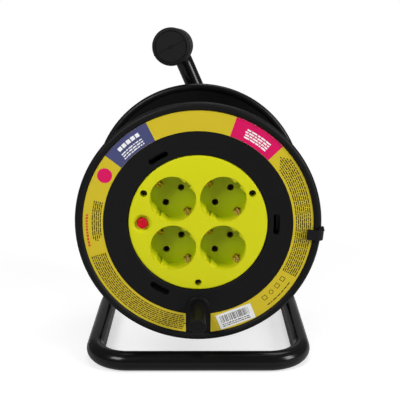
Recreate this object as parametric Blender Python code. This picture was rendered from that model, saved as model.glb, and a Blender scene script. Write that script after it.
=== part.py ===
"""Extension cord reel: a drum with four sockets that turns on a bent tube stand.

Metres, +Z up, front towards -Y. The origin lies on the ground under the middle of the front floor bar.
Drum pieces are drawn about the drum's own axis: there y is the depth behind the socket plate's face.
"""

import math

import bmesh
import bpy
from mathutils import Matrix, Vector

# Stand
TUBE_DIAMETER = 0.0175
TUBE_WALL = 0.0014
TUBE_SIDES = 12
RUN_SPACING = 0.191
FLOOR_BEND_RADIUS = 0.032
HANDLE_BEND_RADIUS = 0.022
HANDLE_CORNER_X = -0.0211
HANDLE_CORNER_Z = 0.2776
HANDLE_RISE = math.radians(3.1)
SHORT_UPRIGHT_END_GAP = 0.004
BEND_STEP = math.radians(15)

# Grip on the handle
GRIP_DIAMETER = 0.0333
GRIP_LENGTH = 0.096
GRIP_FRONT_WALL = 0.004
GRIP_EDGE_RADIUS = 0.002

# Drum placement
AXLE_HEIGHT = 0.135
PLATE_BEHIND_BAR = 0.006
REAR_RUNNING_GAP = 0.0042

# Flanges
FLANGE_RADIUS = 0.1063
RIM_BEAD_RADIUS = 0.0036
RIM_BEAD_PROUD = 0.002
FLANGE_SPACING = 0.1406
FLANGE_WEB = 0.0026
FLANGE_SEGMENTS = 48
BEAD_STEPS = 7
FLANGE_COLLAR = 0.0024
COLLAR_LAP = 0.004

# Label and the ring zone between it and the socket plate
LABEL_PROUD = 0.00465
LABEL_INNER_RADIUS = 0.082
LABEL_RIM_MARGIN = 0.007
LABEL_THICKNESS = 0.0003
LABEL_GAP_WIDTH = 0.022
RING_ZONE_STEP = 0.0005
SLOT_RADIUS = 0.068
SLOT_WIDTH = 0.0053
SLOT_LENGTH = 0.0185
SLOT_ANGLES = (0, 120, 240)

# Winding core
CORE_RADIUS = 0.0707
CORE_WALL = 0.0025
CORE_SEGMENTS = 32
CORE_END_FLANGE_INNER_RADIUS = 0.044
CORE_END_FLANGE = 0.003
POST_RADIUS = 0.0036
POST_LENGTH = 0.022

# Cable inlet bush in the core wall
INLET_DEPTH = 0.052
INLET_BORE_RADIUS = 0.0045
INLET_WALL = 0.002
INLET_COLLAR = 0.002
INLET_COLLAR_THICKNESS = 0.0016

# Socket plate
PLATE_RADIUS = 0.0605
PLATE_THICKNESS = 0.0027
PLATE_EDGE_RADIUS = 0.0015
PLATE_GAP = 0.0006
LEDGE_WIDTH = 0.0014
LEDGE_THICKNESS = 0.0025
SOCKET_PITCH = 0.0434
SOCKET_RADIUS = 0.020
SOCKET_DEPTH = 0.0172
SOCKET_WALL = 0.0015
SOCKET_FLOOR = 0.0025
SOCKET_SEGMENTS = 30
PIN_PITCH = 0.019
PIN_HOLE_RADIUS = 0.00265
SOCKET_ARC_STEPS = 10
GUIDE_REACH = 0.0173
GUIDE_GROOVE_WIDTH = 0.006
GUIDE_GROOVE_DEPTH = 0.0022
GUIDE_ANGLES = (45, 225)
SCREW_ANGLES = (30, 150, 270)
SCREW_CIRCLE_RADIUS = 0.054
SCREW_WELL_RADIUS = 0.00275
SCREW_WELL_DEPTH = 0.010
SCREW_WELL_WALL = 0.0016
SCREW_WELL_FLOOR = 0.002
SCREW_HEAD_RADIUS = 0.0024
SCREW_HEAD_HEIGHT = 0.0022
SCREW_SHANK_RADIUS = 0.0014
SCREW_LENGTH = 0.014
SCREW_HEAD_EDGE = 0.0004
CENTRE_BOSS_RADIUS = 0.0042
CARRIER_SCREW_HEAD_RADIUS = 0.0038

# Reset button and its breaker
BUTTON_X = -0.0485
BUTTON_RADIUS = 0.0046
BUTTON_RECESS = 0.0005
BUTTON_CAP_LENGTH = 0.0065
BUTTON_STEM_RADIUS = 0.0022
BUTTON_STEM_LENGTH = 0.008
BUTTON_TRAVEL = 0.002
BUTTON_CLEARANCE = 0.0004
BUTTON_EDGE = 0.0006
DISH_RADIUS = 0.0084
DISH_DEPTH = 0.0032
DISH_FLOOR_RADIUS = 0.0058
DISH_FLOOR = 0.0018
BREAKER_WIDTH = 0.014
BREAKER_HEIGHT = 0.017
BREAKER_DEPTH = 0.032
SPRING_WIRE = 0.0005
SPRING_TURNS = 4
SPRING_PRESSED_LENGTH = 0.0035
SPRING_STEPS = 10
SPRING_SIDES = 6

# Contacts behind the sockets
EARTH_WIDTH = 0.0042
EARTH_THICKNESS = 0.0008
EARTH_BULGE = 0.0022
EARTH_TIP_DEPTH = 0.0035
EARTH_ANGLE = 135
EARTH_STEPS = 5
PIN_CONTACT_BORE = 0.00245
PIN_CONTACT_WALL = 0.0008
PIN_CONTACT_LENGTH = 0.008
BAR_WIDTH = 0.006
BAR_THICKNESS = 0.001
BAR_STAGGER = 0.003
CARRIER_HALF_WIDTH = 0.0355
CARRIER_THICKNESS = 0.0085
CARRIER_CORNER = 0.003
COVER_WALL = 0.002
COVER_DEPTH = 0.009

# Hub, axle and bracket
AXLE_RADIUS = 0.006
AXLE_FRONT_DEPTH = 0.066
AXLE_THREAD_RADIUS = 0.004
AXLE_COLLAR_RADIUS = 0.010
AXLE_COLLAR_LENGTH = 0.0015
HUB_FRONT_DEPTH = 0.072
HUB_WALL = 0.004
BUSH_WALL = 0.0022
BUSH_COLLAR_RADIUS = 0.0135
BUSH_COLLAR = 0.0015
AXLE_RUNNING = 0.00006
CIRCLIP_THICKNESS = 0.0012
CIRCLIP_RADIUS = 0.0085
CIRCLIP_GROOVE = 0.0008
WASHER_THICKNESS = 0.0015
WASHER_RADIUS = 0.0125
REAR_WASHER_RADIUS = 0.008
AXLE_CHAMFER = 0.001
AXLE_TAIL_PROUD = 0.002
CIRCLIP_MOUTH = 0.0066
BRACKET_THICKNESS = 0.003
BRACKET_HUB_RADIUS = 0.021
BRACKET_EAR_RADIUS = 0.0135
RIVET_RADIUS = 0.0025
RIVET_HEAD_RADIUS = 0.0046
RIVET_HEAD = 0.0018
RIVET_CROWN_RADIUS = 0.0028
RIVET_EDGE = 0.0007
LONG_RIVET_HEIGHTS = (0.150, 0.107)
SHORT_RIVET_HEIGHT = 0.108
NUT_ACROSS_FLATS = 0.013
NUT_THICKNESS = 0.0065

# Rear flange screws
CORE_SCREW_CIRCLE_RADIUS = 0.052
CORE_SCREW_COUNT = 4
CORE_SCREW_HEAD_RADIUS = 0.0036
CORE_SCREW_HEAD = 0.002

# Winding knob
KNOB_CIRCLE_RADIUS = 0.0766
KNOB_RADIUS = 0.0069
KNOB_LENGTH = 0.040
KNOB_EDGE_RADIUS = 0.0012
KNOB_NECK_RADIUS = 0.0061
KNOB_BOSS_RADIUS = 0.0105
KNOB_PIN_RADIUS = 0.003
KNOB_PIN_SNAP_RADIUS = 0.0036
KNOB_PIN_SNAP_LENGTH = 0.002
KNOB_PIN_TIP_RADIUS = 0.0029
KNOB_FRONT_WALL = 0.003
KNOB_RUNNING = 0.00008
KNOB_PIN_HEAD_RADIUS = 0.0055
KNOB_PIN_HEAD = 0.002

# Plug clip on the rim
CLIP_ANGLE = -4.5
CLIP_WIDTH = 0.0094
CLIP_THICKNESS = 0.0022
CLIP_INNER_REACH = 0.0124

SEAT_GAP = 0.0003
WELD_DISTANCE = 0.000001
ROUND_SEGMENTS = 24
SMALL_SEGMENTS = 12
EDGE_STEPS = 2

for old in list(bpy.data.objects):
    bpy.data.objects.remove(old)


# ---- places worked out from the sizes ----

TUBE_RADIUS = TUBE_DIAMETER / 2
TUBE_CORNER_RADIUS = TUBE_RADIUS / math.cos(math.pi / TUBE_SIDES)
RUN_X = RUN_SPACING / 2

LABEL_FACE = -LABEL_PROUD
LABEL_OUTER_RADIUS = FLANGE_RADIUS - LABEL_RIM_MARGIN
FRONT_WEB_FACE = LABEL_FACE + LABEL_THICKNESS + SEAT_GAP
FRONT_BEAD_DEPTH = LABEL_FACE - RIM_BEAD_PROUD + RIM_BEAD_RADIUS
REAR_BEAD_DEPTH = FRONT_BEAD_DEPTH + FLANGE_SPACING
REAR_WEB_FACE = REAR_BEAD_DEPTH - RIM_BEAD_RADIUS + RIM_BEAD_PROUD
REAR_WEB_BACK = REAR_WEB_FACE + FLANGE_WEB
DRUM_BACK = REAR_BEAD_DEPTH + RIM_BEAD_RADIUS

PLATE_OPENING_RADIUS = PLATE_RADIUS + PLATE_GAP
LEDGE_RADIUS = PLATE_OPENING_RADIUS - LEDGE_WIDTH - PLATE_GAP
LEDGE_FACE = PLATE_THICKNESS + SEAT_GAP
LEDGE_BACK = LEDGE_FACE + LEDGE_THICKNESS
COLLAR_INNER_RADIUS = CORE_RADIUS + SEAT_GAP
COLLAR_OUTER_RADIUS = COLLAR_INNER_RADIUS + FLANGE_COLLAR
CORE_INNER_RADIUS = CORE_RADIUS - CORE_WALL
CORE_FRONT = LEDGE_BACK + SEAT_GAP
CORE_BACK = REAR_WEB_FACE - SEAT_GAP
SOCKET_FLOOR_BACK = SOCKET_DEPTH + SOCKET_FLOOR
SCREW_WELL_BACK = SCREW_WELL_DEPTH + SCREW_WELL_FLOOR
POST_FRONT = SCREW_WELL_BACK + SEAT_GAP

BRACKET_FACE = DRUM_BACK + REAR_RUNNING_GAP
BRACKET_BACK = BRACKET_FACE + BRACKET_THICKNESS
UPRIGHT_DEPTH = BRACKET_BACK + SEAT_GAP + TUBE_CORNER_RADIUS
UPRIGHT_Y = PLATE_BEHIND_BAR + UPRIGHT_DEPTH

BUSH_BORE_RADIUS = (AXLE_RADIUS + AXLE_RUNNING) / math.cos(math.pi / ROUND_SEGMENTS)
BUSH_RADIUS = BUSH_BORE_RADIUS + BUSH_WALL
HUB_BORE_RADIUS = BUSH_RADIUS + SEAT_GAP
HUB_RADIUS = HUB_BORE_RADIUS + HUB_WALL
HUB_BACK = BRACKET_FACE - AXLE_COLLAR_LENGTH - 3 * SEAT_GAP - BUSH_COLLAR

CONTACT_FRONT = SOCKET_FLOOR_BACK + SEAT_GAP
CARRIER_FRONT = CONTACT_FRONT + EARTH_THICKNESS + SEAT_GAP
CARRIER_BACK = CARRIER_FRONT + CARRIER_THICKNESS
PIN_CONTACT_RADIUS = PIN_CONTACT_BORE + PIN_CONTACT_WALL
LIVE_BAR_FACE = CARRIER_BACK + SEAT_GAP
NEUTRAL_BAR_FACE = LIVE_BAR_FACE + BAR_STAGGER
COVER_BACK = CARRIER_BACK + SEAT_GAP + COVER_DEPTH

DISH_BACK = DISH_DEPTH + DISH_FLOOR
BREAKER_FRONT = DISH_BACK + SEAT_GAP
BUTTON_CAP_BACK = BUTTON_RECESS + BUTTON_CAP_LENGTH
SPRING_SEAT = BUTTON_CAP_BACK + BUTTON_TRAVEL + 2 * SEAT_GAP + SPRING_PRESSED_LENGTH

KNOB_SEAT = LABEL_FACE
KNOB_BOSS_BACK = FLANGE_WEB - RING_ZONE_STEP + SEAT_GAP
KNOB_BACK = KNOB_SEAT - SEAT_GAP
KNOB_FRONT = KNOB_BACK - KNOB_LENGTH

SOCKET_CENTRES = [
    (x * SOCKET_PITCH / 2, z * SOCKET_PITCH / 2) for z in (1, -1) for x in (-1, 1)
]
PIN_OFFSET = PIN_PITCH / 2 * math.cos(math.radians(45))


def polar(radius, degrees):
    """A point (x, z) at an angle that runs anticlockwise from +X as seen from the front."""
    angle = math.radians(degrees)
    return radius * math.cos(angle), radius * math.sin(angle)


# ---- materials ----

def material(name, colour, roughness, metallic=0.0):
    made = bpy.data.materials.new(name)
    made.use_nodes = True
    shader = made.node_tree.nodes["Principled BSDF"]
    shader.inputs["Base Color"].default_value = (*colour, 1)
    shader.inputs["Roughness"].default_value = roughness
    shader.inputs["Metallic"].default_value = metallic
    return made


def materials_by_name():
    return {
        "black_tube": material("black_tube", (0.012, 0.012, 0.013), 0.22, 0.3),
        "black_plastic": material("black_plastic", (0.022, 0.022, 0.024), 0.55),
        "grip_plastic": material("grip_plastic", (0.035, 0.035, 0.037), 0.6),
        "lime_plastic": material("lime_plastic", (0.60, 0.68, 0.03), 0.42),
        "label": material("label", (0.66, 0.50, 0.06), 0.35),
        "red_button": material("red_button", (0.70, 0.01, 0.03), 0.35),
        "brass": material("brass", (0.70, 0.45, 0.22), 0.3, 1.0),
        "zinc_steel": material("zinc_steel", (0.55, 0.56, 0.58), 0.35, 1.0),
        "grey_plastic": material("grey_plastic", (0.32, 0.33, 0.34), 0.5),
    }


MATERIALS = materials_by_name()


# ---- objects ----

def pivot(name, location):
    made = bpy.data.objects.new(name, None)
    made.location = location
    bpy.context.collection.objects.link(made)
    return made


def placed(name, bm, parent, location):
    bmesh.ops.remove_doubles(bm, verts=bm.verts, dist=WELD_DISTANCE)
    bmesh.ops.dissolve_degenerate(bm, edges=bm.edges, dist=WELD_DISTANCE)
    bmesh.ops.recalc_face_normals(bm, faces=bm.faces)
    mesh = bpy.data.meshes.new(name)
    bm.to_mesh(mesh)
    bm.free()
    made = bpy.data.objects.new(name, mesh)
    made.parent = parent
    made.location = location
    bpy.context.collection.objects.link(made)
    return made


def piece(name, bm, finish, parent=None, location=(0, 0, 0)):
    made = placed(name, bm, parent, location)
    made.data.materials.append(MATERIALS[finish])
    made.data.shade_smooth()
    made.data.set_sharp_from_angle(angle=math.radians(35))
    return made


def helper(name, bm, parent=None, location=(0, 0, 0)):
    made = placed(name, bm, parent, location)
    made.hide_render = True
    made.display_type = "WIRE"
    return made


def combine(target, other, operation):
    step = target.modifiers.new(other.name, "BOOLEAN")
    step.operation = operation
    step.solver = "EXACT"
    step.object = other


# ---- shapes, added to a bmesh ----

def arc(centre_r, centre_y, radius, start, end, steps):
    """Points (r, y) along an arc, its angles in degrees from +r towards +y."""
    angles = [math.radians(start + (end - start) * k / steps) for k in range(steps + 1)]
    return [(centre_r + radius * math.cos(a), centre_y + radius * math.sin(a)) for a in angles]


def turned(bm, profile, segments, x=0.0, z=0.0):
    """Turns an outline (r, y) about the axis through (x, z) that runs along Y."""
    verts = [bm.verts.new((x + r, y, z)) for r, y in profile]
    edges = [bm.edges.new(pair) for pair in zip(verts, verts[1:])]
    if profile[0][0] > 0 or profile[-1][0] > 0:
        edges.append(bm.edges.new((verts[-1], verts[0])))
    bmesh.ops.spin(
        bm, geom=verts + edges, cent=(x, 0, z), axis=(0, 1, 0), angle=math.tau, steps=segments, use_merge=True
    )


def rod(bm, radius, front, back, x=0.0, z=0.0, segments=SMALL_SEGMENTS):
    turned(bm, [(0, front), (radius, front), (radius, back), (0, back)], segments, x, z)


def block(bm, low, high):
    size = Vector(high) - Vector(low)
    middle = (Vector(high) + Vector(low)) / 2
    matrix = Matrix.Translation(middle) @ Matrix.Diagonal((*size, 1))
    bmesh.ops.create_cube(bm, size=1, matrix=matrix)


def prism(bm, outline, front, back):
    """An outline of points (x, z) carried from depth front to depth back."""
    face = bm.faces.new([bm.verts.new((x, front, z)) for x, z in outline])
    made = bmesh.ops.extrude_face_region(bm, geom=[face])["geom"]
    moved = [v for v in made if isinstance(v, bmesh.types.BMVert)]
    bmesh.ops.translate(bm, verts=moved, vec=(0, back - front, 0))


def ribbon(bm, path, thickness, width, matrix):
    """A bent strip: path (u, y) is its middle line, and the strip is as wide as width across u and y."""
    points = [Vector(p) for p in path]
    sides = []
    for k, point in enumerate(points):
        before = (point - points[k - 1]).normalized() if k else None
        after = (points[k + 1] - point).normalized() if k + 1 < len(points) else None
        normals = [Vector((-d.y, d.x)) for d in (before, after) if d]
        normal = sum(normals, Vector((0, 0))).normalized()
        half = thickness / 2 / normal.dot(normals[0])
        sides.append((point + normal * half, point - normal * half))
    outline = [a for a, b in sides] + [b for a, b in reversed(sides)]
    face = bm.faces.new([bm.verts.new(matrix @ Vector((p.x, p.y, -width / 2))) for p in outline])
    made = bmesh.ops.extrude_face_region(bm, geom=[face])["geom"]
    moved = [v for v in made if isinstance(v, bmesh.types.BMVert)]
    bmesh.ops.translate(bm, verts=moved, vec=matrix.to_3x3() @ Vector((0, 0, width)))


def rounded_path(corners, radii, step):
    """Stations (point, direction) along straight runs joined by arcs, one radius for each inner corner."""
    stations = [(corners[0], (corners[1] - corners[0]).normalized())]
    for before, corner, after, radius in zip(corners, corners[1:], corners[2:], radii):
        arriving = (corner - before).normalized()
        leaving = (after - corner).normalized()
        angle = arriving.angle(leaving)
        reach = radius * math.tan(angle / 2)
        axis = arriving.cross(leaving).normalized()
        start = corner - arriving * reach
        centre = start + axis.cross(arriving) * radius
        count = math.ceil(angle / step - 1e-6)
        for k in range(count + 1):
            turn = Matrix.Rotation(angle * k / count, 3, axis)
            stations.append((centre + turn @ (start - centre), turn @ arriving))
    stations.append((corners[-1], (corners[-1] - corners[-2]).normalized()))
    return stations


def carried_frames(stations, known, side):
    """Section frames without twist. At station number known the section's first side faces along side."""
    frames = [None] * len(stations)
    for order in (range(known, len(stations)), range(known, -1, -1)):
        facing = side
        direction = stations[known][1]
        for k in order:
            facing = direction.rotation_difference(stations[k][1]) @ facing
            direction = stations[k][1]
            across = direction.cross(facing)
            frame = Matrix((facing, across, direction)).transposed().to_4x4()
            frame.translation = stations[k][0]
            frames[k] = frame
    return frames


def section_rings(bm, frames, radius, sides):
    angles = [math.tau * (k + 0.5) / sides for k in range(sides)]
    return [
        [bm.verts.new(frame @ Vector((radius * math.cos(a), radius * math.sin(a), 0))) for a in angles]
        for frame in frames
    ]


def skin(bm, one, other):
    for k in range(len(one)):
        follows = (k + 1) % len(one)
        bm.faces.new((one[k], one[follows], other[follows], other[k]))


def pipe(bm, frames, outer, inner, sides):
    """A hollow tube through the frames, open at both ends."""
    outside = section_rings(bm, frames, outer, sides)
    inside = section_rings(bm, frames, inner, sides)
    for rings in (outside, inside):
        for one, other in zip(rings, rings[1:]):
            skin(bm, one, other)
    for end in (0, -1):
        skin(bm, outside[end], inside[end])


# ---- stand ----

def handle_direction():
    """The way the handle points: forward, and up along the long upright by a few degrees."""
    upright = Vector((HANDLE_CORNER_X - RUN_X, 0, HANDLE_CORNER_Z - TUBE_RADIUS)).normalized()
    return Vector((0, -1, 0)) * math.cos(HANDLE_RISE) + upright * math.sin(HANDLE_RISE)


def handle_bend_reach():
    return HANDLE_BEND_RADIUS * math.tan((math.pi / 2 - HANDLE_RISE) / 2)


def long_upright_x(height):
    share = (height - TUBE_RADIUS) / (HANDLE_CORNER_Z - TUBE_RADIUS)
    return RUN_X + (HANDLE_CORNER_X - RUN_X) * share


def short_upright_x(height):
    """The short upright leads from the left floor run straight behind the axle."""
    return -RUN_X + RUN_X * (height - TUBE_RADIUS) / (AXLE_HEIGHT - TUBE_RADIUS)


def short_upright_top():
    """The short upright stops where its square end would reach the long upright."""
    long_way = Vector((HANDLE_CORNER_X - RUN_X, HANDLE_CORNER_Z - TUBE_RADIUS)).normalized()
    short_way = Vector((RUN_X, AXLE_HEIGHT - TUBE_RADIUS)).normalized()
    angle = short_way.angle(long_way)
    run = RUN_SPACING * abs(long_way.y) / math.sin(angle)
    back_off = TUBE_CORNER_RADIUS / math.sin(angle) + TUBE_CORNER_RADIUS / math.tan(angle)
    length = run - back_off - SHORT_UPRIGHT_END_GAP
    return Vector((-RUN_X, UPRIGHT_Y, TUBE_RADIUS)) + Vector((short_way.x, 0, short_way.y)) * length


def stand_corners():
    handle_corner = Vector((HANDLE_CORNER_X, UPRIGHT_Y, HANDLE_CORNER_Z))
    tube_in_grip = handle_bend_reach() + GRIP_LENGTH - GRIP_FRONT_WALL
    return [
        handle_corner + handle_direction() * tube_in_grip,
        handle_corner,
        Vector((RUN_X, UPRIGHT_Y, TUBE_RADIUS)),
        Vector((RUN_X, 0, TUBE_RADIUS)),
        Vector((-RUN_X, 0, TUBE_RADIUS)),
        Vector((-RUN_X, UPRIGHT_Y, TUBE_RADIUS)),
        short_upright_top(),
    ]


def stand_frames():
    radii = [HANDLE_BEND_RADIUS] + [FLOOR_BEND_RADIUS] * 4
    stations = rounded_path(stand_corners(), radii, BEND_STEP)
    on_bar = min(range(len(stations)), key=lambda k: (stations[k][1] - Vector((-1, 0, 0))).length)
    return carried_frames(stations, on_bar, Vector((0, 0, -1)))


def rivet_places():
    places = [(long_upright_x(height), height) for height in LONG_RIVET_HEIGHTS]
    return places + [(short_upright_x(SHORT_RIVET_HEIGHT), SHORT_RIVET_HEIGHT)]


def build_stand():
    frames = stand_frames()
    bm = bmesh.new()
    pipe(bm, frames, TUBE_CORNER_RADIUS, TUBE_CORNER_RADIUS - TUBE_WALL, TUBE_SIDES)
    tube = piece("stand_tube", bm, "black_tube")

    holes = bmesh.new()
    front = UPRIGHT_Y - 2 * TUBE_RADIUS
    back = UPRIGHT_Y + 2 * TUBE_RADIUS
    for x, z in rivet_places():
        rod(holes, RIVET_RADIUS + SEAT_GAP, front, back, x, z)
    rod(holes, AXLE_THREAD_RADIUS + SEAT_GAP, front, back, 0, AXLE_HEIGHT)
    combine(tube, helper("stand_holes", holes), "DIFFERENCE")
    build_end_plug(frames[-1])


def build_end_plug(frame):
    """A plastic plug in the open top end of the short upright."""
    inner = (TUBE_CORNER_RADIUS - TUBE_WALL) * math.cos(math.pi / TUBE_SIDES) - SEAT_GAP
    head = SHORT_UPRIGHT_END_GAP / 2
    tail = 2 * inner
    profile = [
        (0, -tail), (inner, -tail), (inner, SEAT_GAP), (TUBE_RADIUS, SEAT_GAP), (TUBE_RADIUS, head), (0, head),
    ]
    bm = bmesh.new()
    turned(bm, profile, TUBE_SIDES)
    bm.transform(frame @ Matrix.Rotation(math.radians(90), 4, "X"))
    piece("tube_end_plug", bm, "grip_plastic")


def build_grip():
    """The grip is a closed sleeve, drawn with its front end at depth 0 and pushed onto the tube."""
    radius = GRIP_DIAMETER / 2
    bore = TUBE_CORNER_RADIUS + SEAT_GAP
    profile = [(0, 0)]
    edge = GRIP_EDGE_RADIUS
    profile += arc(radius - edge, edge, edge, -90, 0, EDGE_STEPS)
    profile += arc(radius - edge, GRIP_LENGTH - edge, edge, 0, 90, EDGE_STEPS)
    profile += [(bore, GRIP_LENGTH), (bore, GRIP_FRONT_WALL), (0, GRIP_FRONT_WALL)]
    bm = bmesh.new()
    turned(bm, profile, ROUND_SEGMENTS)
    way = handle_direction()
    start = handle_bend_reach() + SEAT_GAP + GRIP_LENGTH
    grip = piece("handle_grip", bm, "grip_plastic")
    grip.rotation_mode = "QUATERNION"
    grip.rotation_quaternion = (-way).to_track_quat("Y", "Z")
    grip.location = Vector((HANDLE_CORNER_X, UPRIGHT_Y, HANDLE_CORNER_Z)) + way * start


def build_bracket():
    """A flat plate behind the drum, riveted across both uprights. It holds the axle."""
    face = PLATE_BEHIND_BAR + BRACKET_FACE
    back = PLATE_BEHIND_BAR + BRACKET_BACK
    discs = [(0, AXLE_HEIGHT, BRACKET_HUB_RADIUS)]
    discs += [(x, z, BRACKET_EAR_RADIUS) for x, z in rivet_places()]
    bm = bmesh.new()
    for x, z, radius in discs:
        for y in (face, back):
            ring = [polar(radius, 360 * k / ROUND_SEGMENTS) for k in range(ROUND_SEGMENTS)]
            for dx, dz in ring:
                bm.verts.new((x + dx, y, z + dz))
    inside = bmesh.ops.convex_hull(bm, input=bm.verts)["geom_interior"]
    bmesh.ops.delete(bm, geom=inside, context="VERTS")
    bmesh.ops.dissolve_limit(bm, angle_limit=math.radians(1), verts=bm.verts, edges=bm.edges)
    bracket = piece("axle_bracket", bm, "black_tube")

    holes = bmesh.new()
    for x, z in rivet_places():
        rod(holes, RIVET_RADIUS + SEAT_GAP, face - BRACKET_THICKNESS, back + BRACKET_THICKNESS, x, z)
    rod(
        holes, AXLE_THREAD_RADIUS + SEAT_GAP, face - BRACKET_THICKNESS, back + BRACKET_THICKNESS, 0, AXLE_HEIGHT
    )
    combine(bracket, helper("bracket_holes", holes), "DIFFERENCE")

    tube_back = PLATE_BEHIND_BAR + UPRIGHT_DEPTH + TUBE_CORNER_RADIUS
    for number, (x, z) in enumerate(rivet_places(), 1):
        build_rivet(number, x, z, face - SEAT_GAP, tube_back + SEAT_GAP)


def build_rivet(number, x, z, front, back):
    profile = [
        (0, front - RIVET_HEAD), (RIVET_CROWN_RADIUS, front - RIVET_HEAD),
        (RIVET_HEAD_RADIUS, front - RIVET_EDGE), (RIVET_HEAD_RADIUS, front), (RIVET_RADIUS, front),
        (RIVET_RADIUS, back), (RIVET_HEAD_RADIUS, back), (RIVET_HEAD_RADIUS, back + RIVET_EDGE),
        (RIVET_CROWN_RADIUS, back + RIVET_HEAD), (0, back + RIVET_HEAD),
    ]
    bm = bmesh.new()
    turned(bm, profile, SMALL_SEGMENTS)
    piece(f"bracket_rivet_{number}", bm, "zinc_steel", location=(x, 0, z))


def build_axle(fixed):
    """Journal, collar against the bracket, and a threaded tail through the short upright."""
    collar_front = BRACKET_FACE - SEAT_GAP - AXLE_COLLAR_LENGTH
    collar_back = BRACKET_FACE - SEAT_GAP
    tail_seat = UPRIGHT_DEPTH + TUBE_CORNER_RADIUS
    tail_end = tail_seat + 2 * SEAT_GAP + WASHER_THICKNESS + NUT_THICKNESS + AXLE_TAIL_PROUD
    groove_front, groove_back = circlip_groove()
    groove = AXLE_RADIUS - CIRCLIP_GROOVE
    profile = [
        (0, AXLE_FRONT_DEPTH), (AXLE_RADIUS - AXLE_CHAMFER, AXLE_FRONT_DEPTH),
        (AXLE_RADIUS, AXLE_FRONT_DEPTH + AXLE_CHAMFER), (AXLE_RADIUS, groove_front),
        (groove, groove_front), (groove, groove_back), (AXLE_RADIUS, groove_back),
        (AXLE_RADIUS, collar_front), (AXLE_COLLAR_RADIUS, collar_front), (AXLE_COLLAR_RADIUS, collar_back),
        (AXLE_THREAD_RADIUS, collar_back), (AXLE_THREAD_RADIUS, tail_end), (0, tail_end),
    ]
    bm = bmesh.new()
    turned(bm, profile, ROUND_SEGMENTS)
    piece("axle", bm, "zinc_steel", fixed)

    bore = AXLE_THREAD_RADIUS + SEAT_GAP
    washer_front = tail_seat + SEAT_GAP
    build_ring("axle_rear_washer", fixed, bore, REAR_WASHER_RADIUS, washer_front, WASHER_THICKNESS)
    nut_front = washer_front + WASHER_THICKNESS + SEAT_GAP
    nut = bmesh.new()
    corners = [polar(NUT_ACROSS_FLATS / 2 / math.cos(math.radians(30)), 60 * k) for k in range(6)]
    prism(nut, corners, nut_front, nut_front + NUT_THICKNESS)
    made = piece("axle_nut", nut, "zinc_steel", fixed)
    hole = bmesh.new()
    rod(hole, bore, nut_front - WASHER_THICKNESS, nut_front + NUT_THICKNESS + WASHER_THICKNESS)
    combine(made, helper("axle_nut_hole", hole, fixed), "DIFFERENCE")


def circlip_groove():
    """Front and back depth of the groove, which lies just in front of the thrust washer."""
    back = HUB_FRONT_DEPTH - 2 * SEAT_GAP - WASHER_THICKNESS
    return back - CIRCLIP_THICKNESS - 2 * SEAT_GAP, back


def build_ring(name, parent, inner, outer, front, thickness):
    bm = bmesh.new()
    back = front + thickness
    turned(bm, [(inner, front), (outer, front), (outer, back), (inner, back)], ROUND_SEGMENTS)
    return piece(name, bm, "zinc_steel", parent)


def build_axle_retainers(fixed):
    front, back = circlip_groove()
    bore = (AXLE_RADIUS + AXLE_RUNNING) / math.cos(math.pi / ROUND_SEGMENTS)
    build_ring("thrust_washer", fixed, bore, WASHER_RADIUS, back + SEAT_GAP, WASHER_THICKNESS)
    inner = AXLE_RADIUS - CIRCLIP_GROOVE + SEAT_GAP
    clip = build_ring("axle_circlip", fixed, inner, CIRCLIP_RADIUS, front + SEAT_GAP, CIRCLIP_THICKNESS)
    mouth = bmesh.new()
    block(mouth, (-CIRCLIP_MOUTH / 2, front, 0), (CIRCLIP_MOUTH / 2, back, 2 * CIRCLIP_RADIUS))
    combine(clip, helper("circlip_mouth", mouth, fixed), "DIFFERENCE")


# ---- drum ----

def bead(depth, start, end):
    """Part of a flange's rounded rim."""
    return arc(FLANGE_RADIUS - RIM_BEAD_RADIUS, depth, RIM_BEAD_RADIUS, start, end, BEAD_STEPS)


def bead_meets_web(offset):
    """Angle at which the rim's round section meets a web face that lies offset from its middle."""
    return math.degrees(math.asin(offset / RIM_BEAD_RADIUS))


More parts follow.
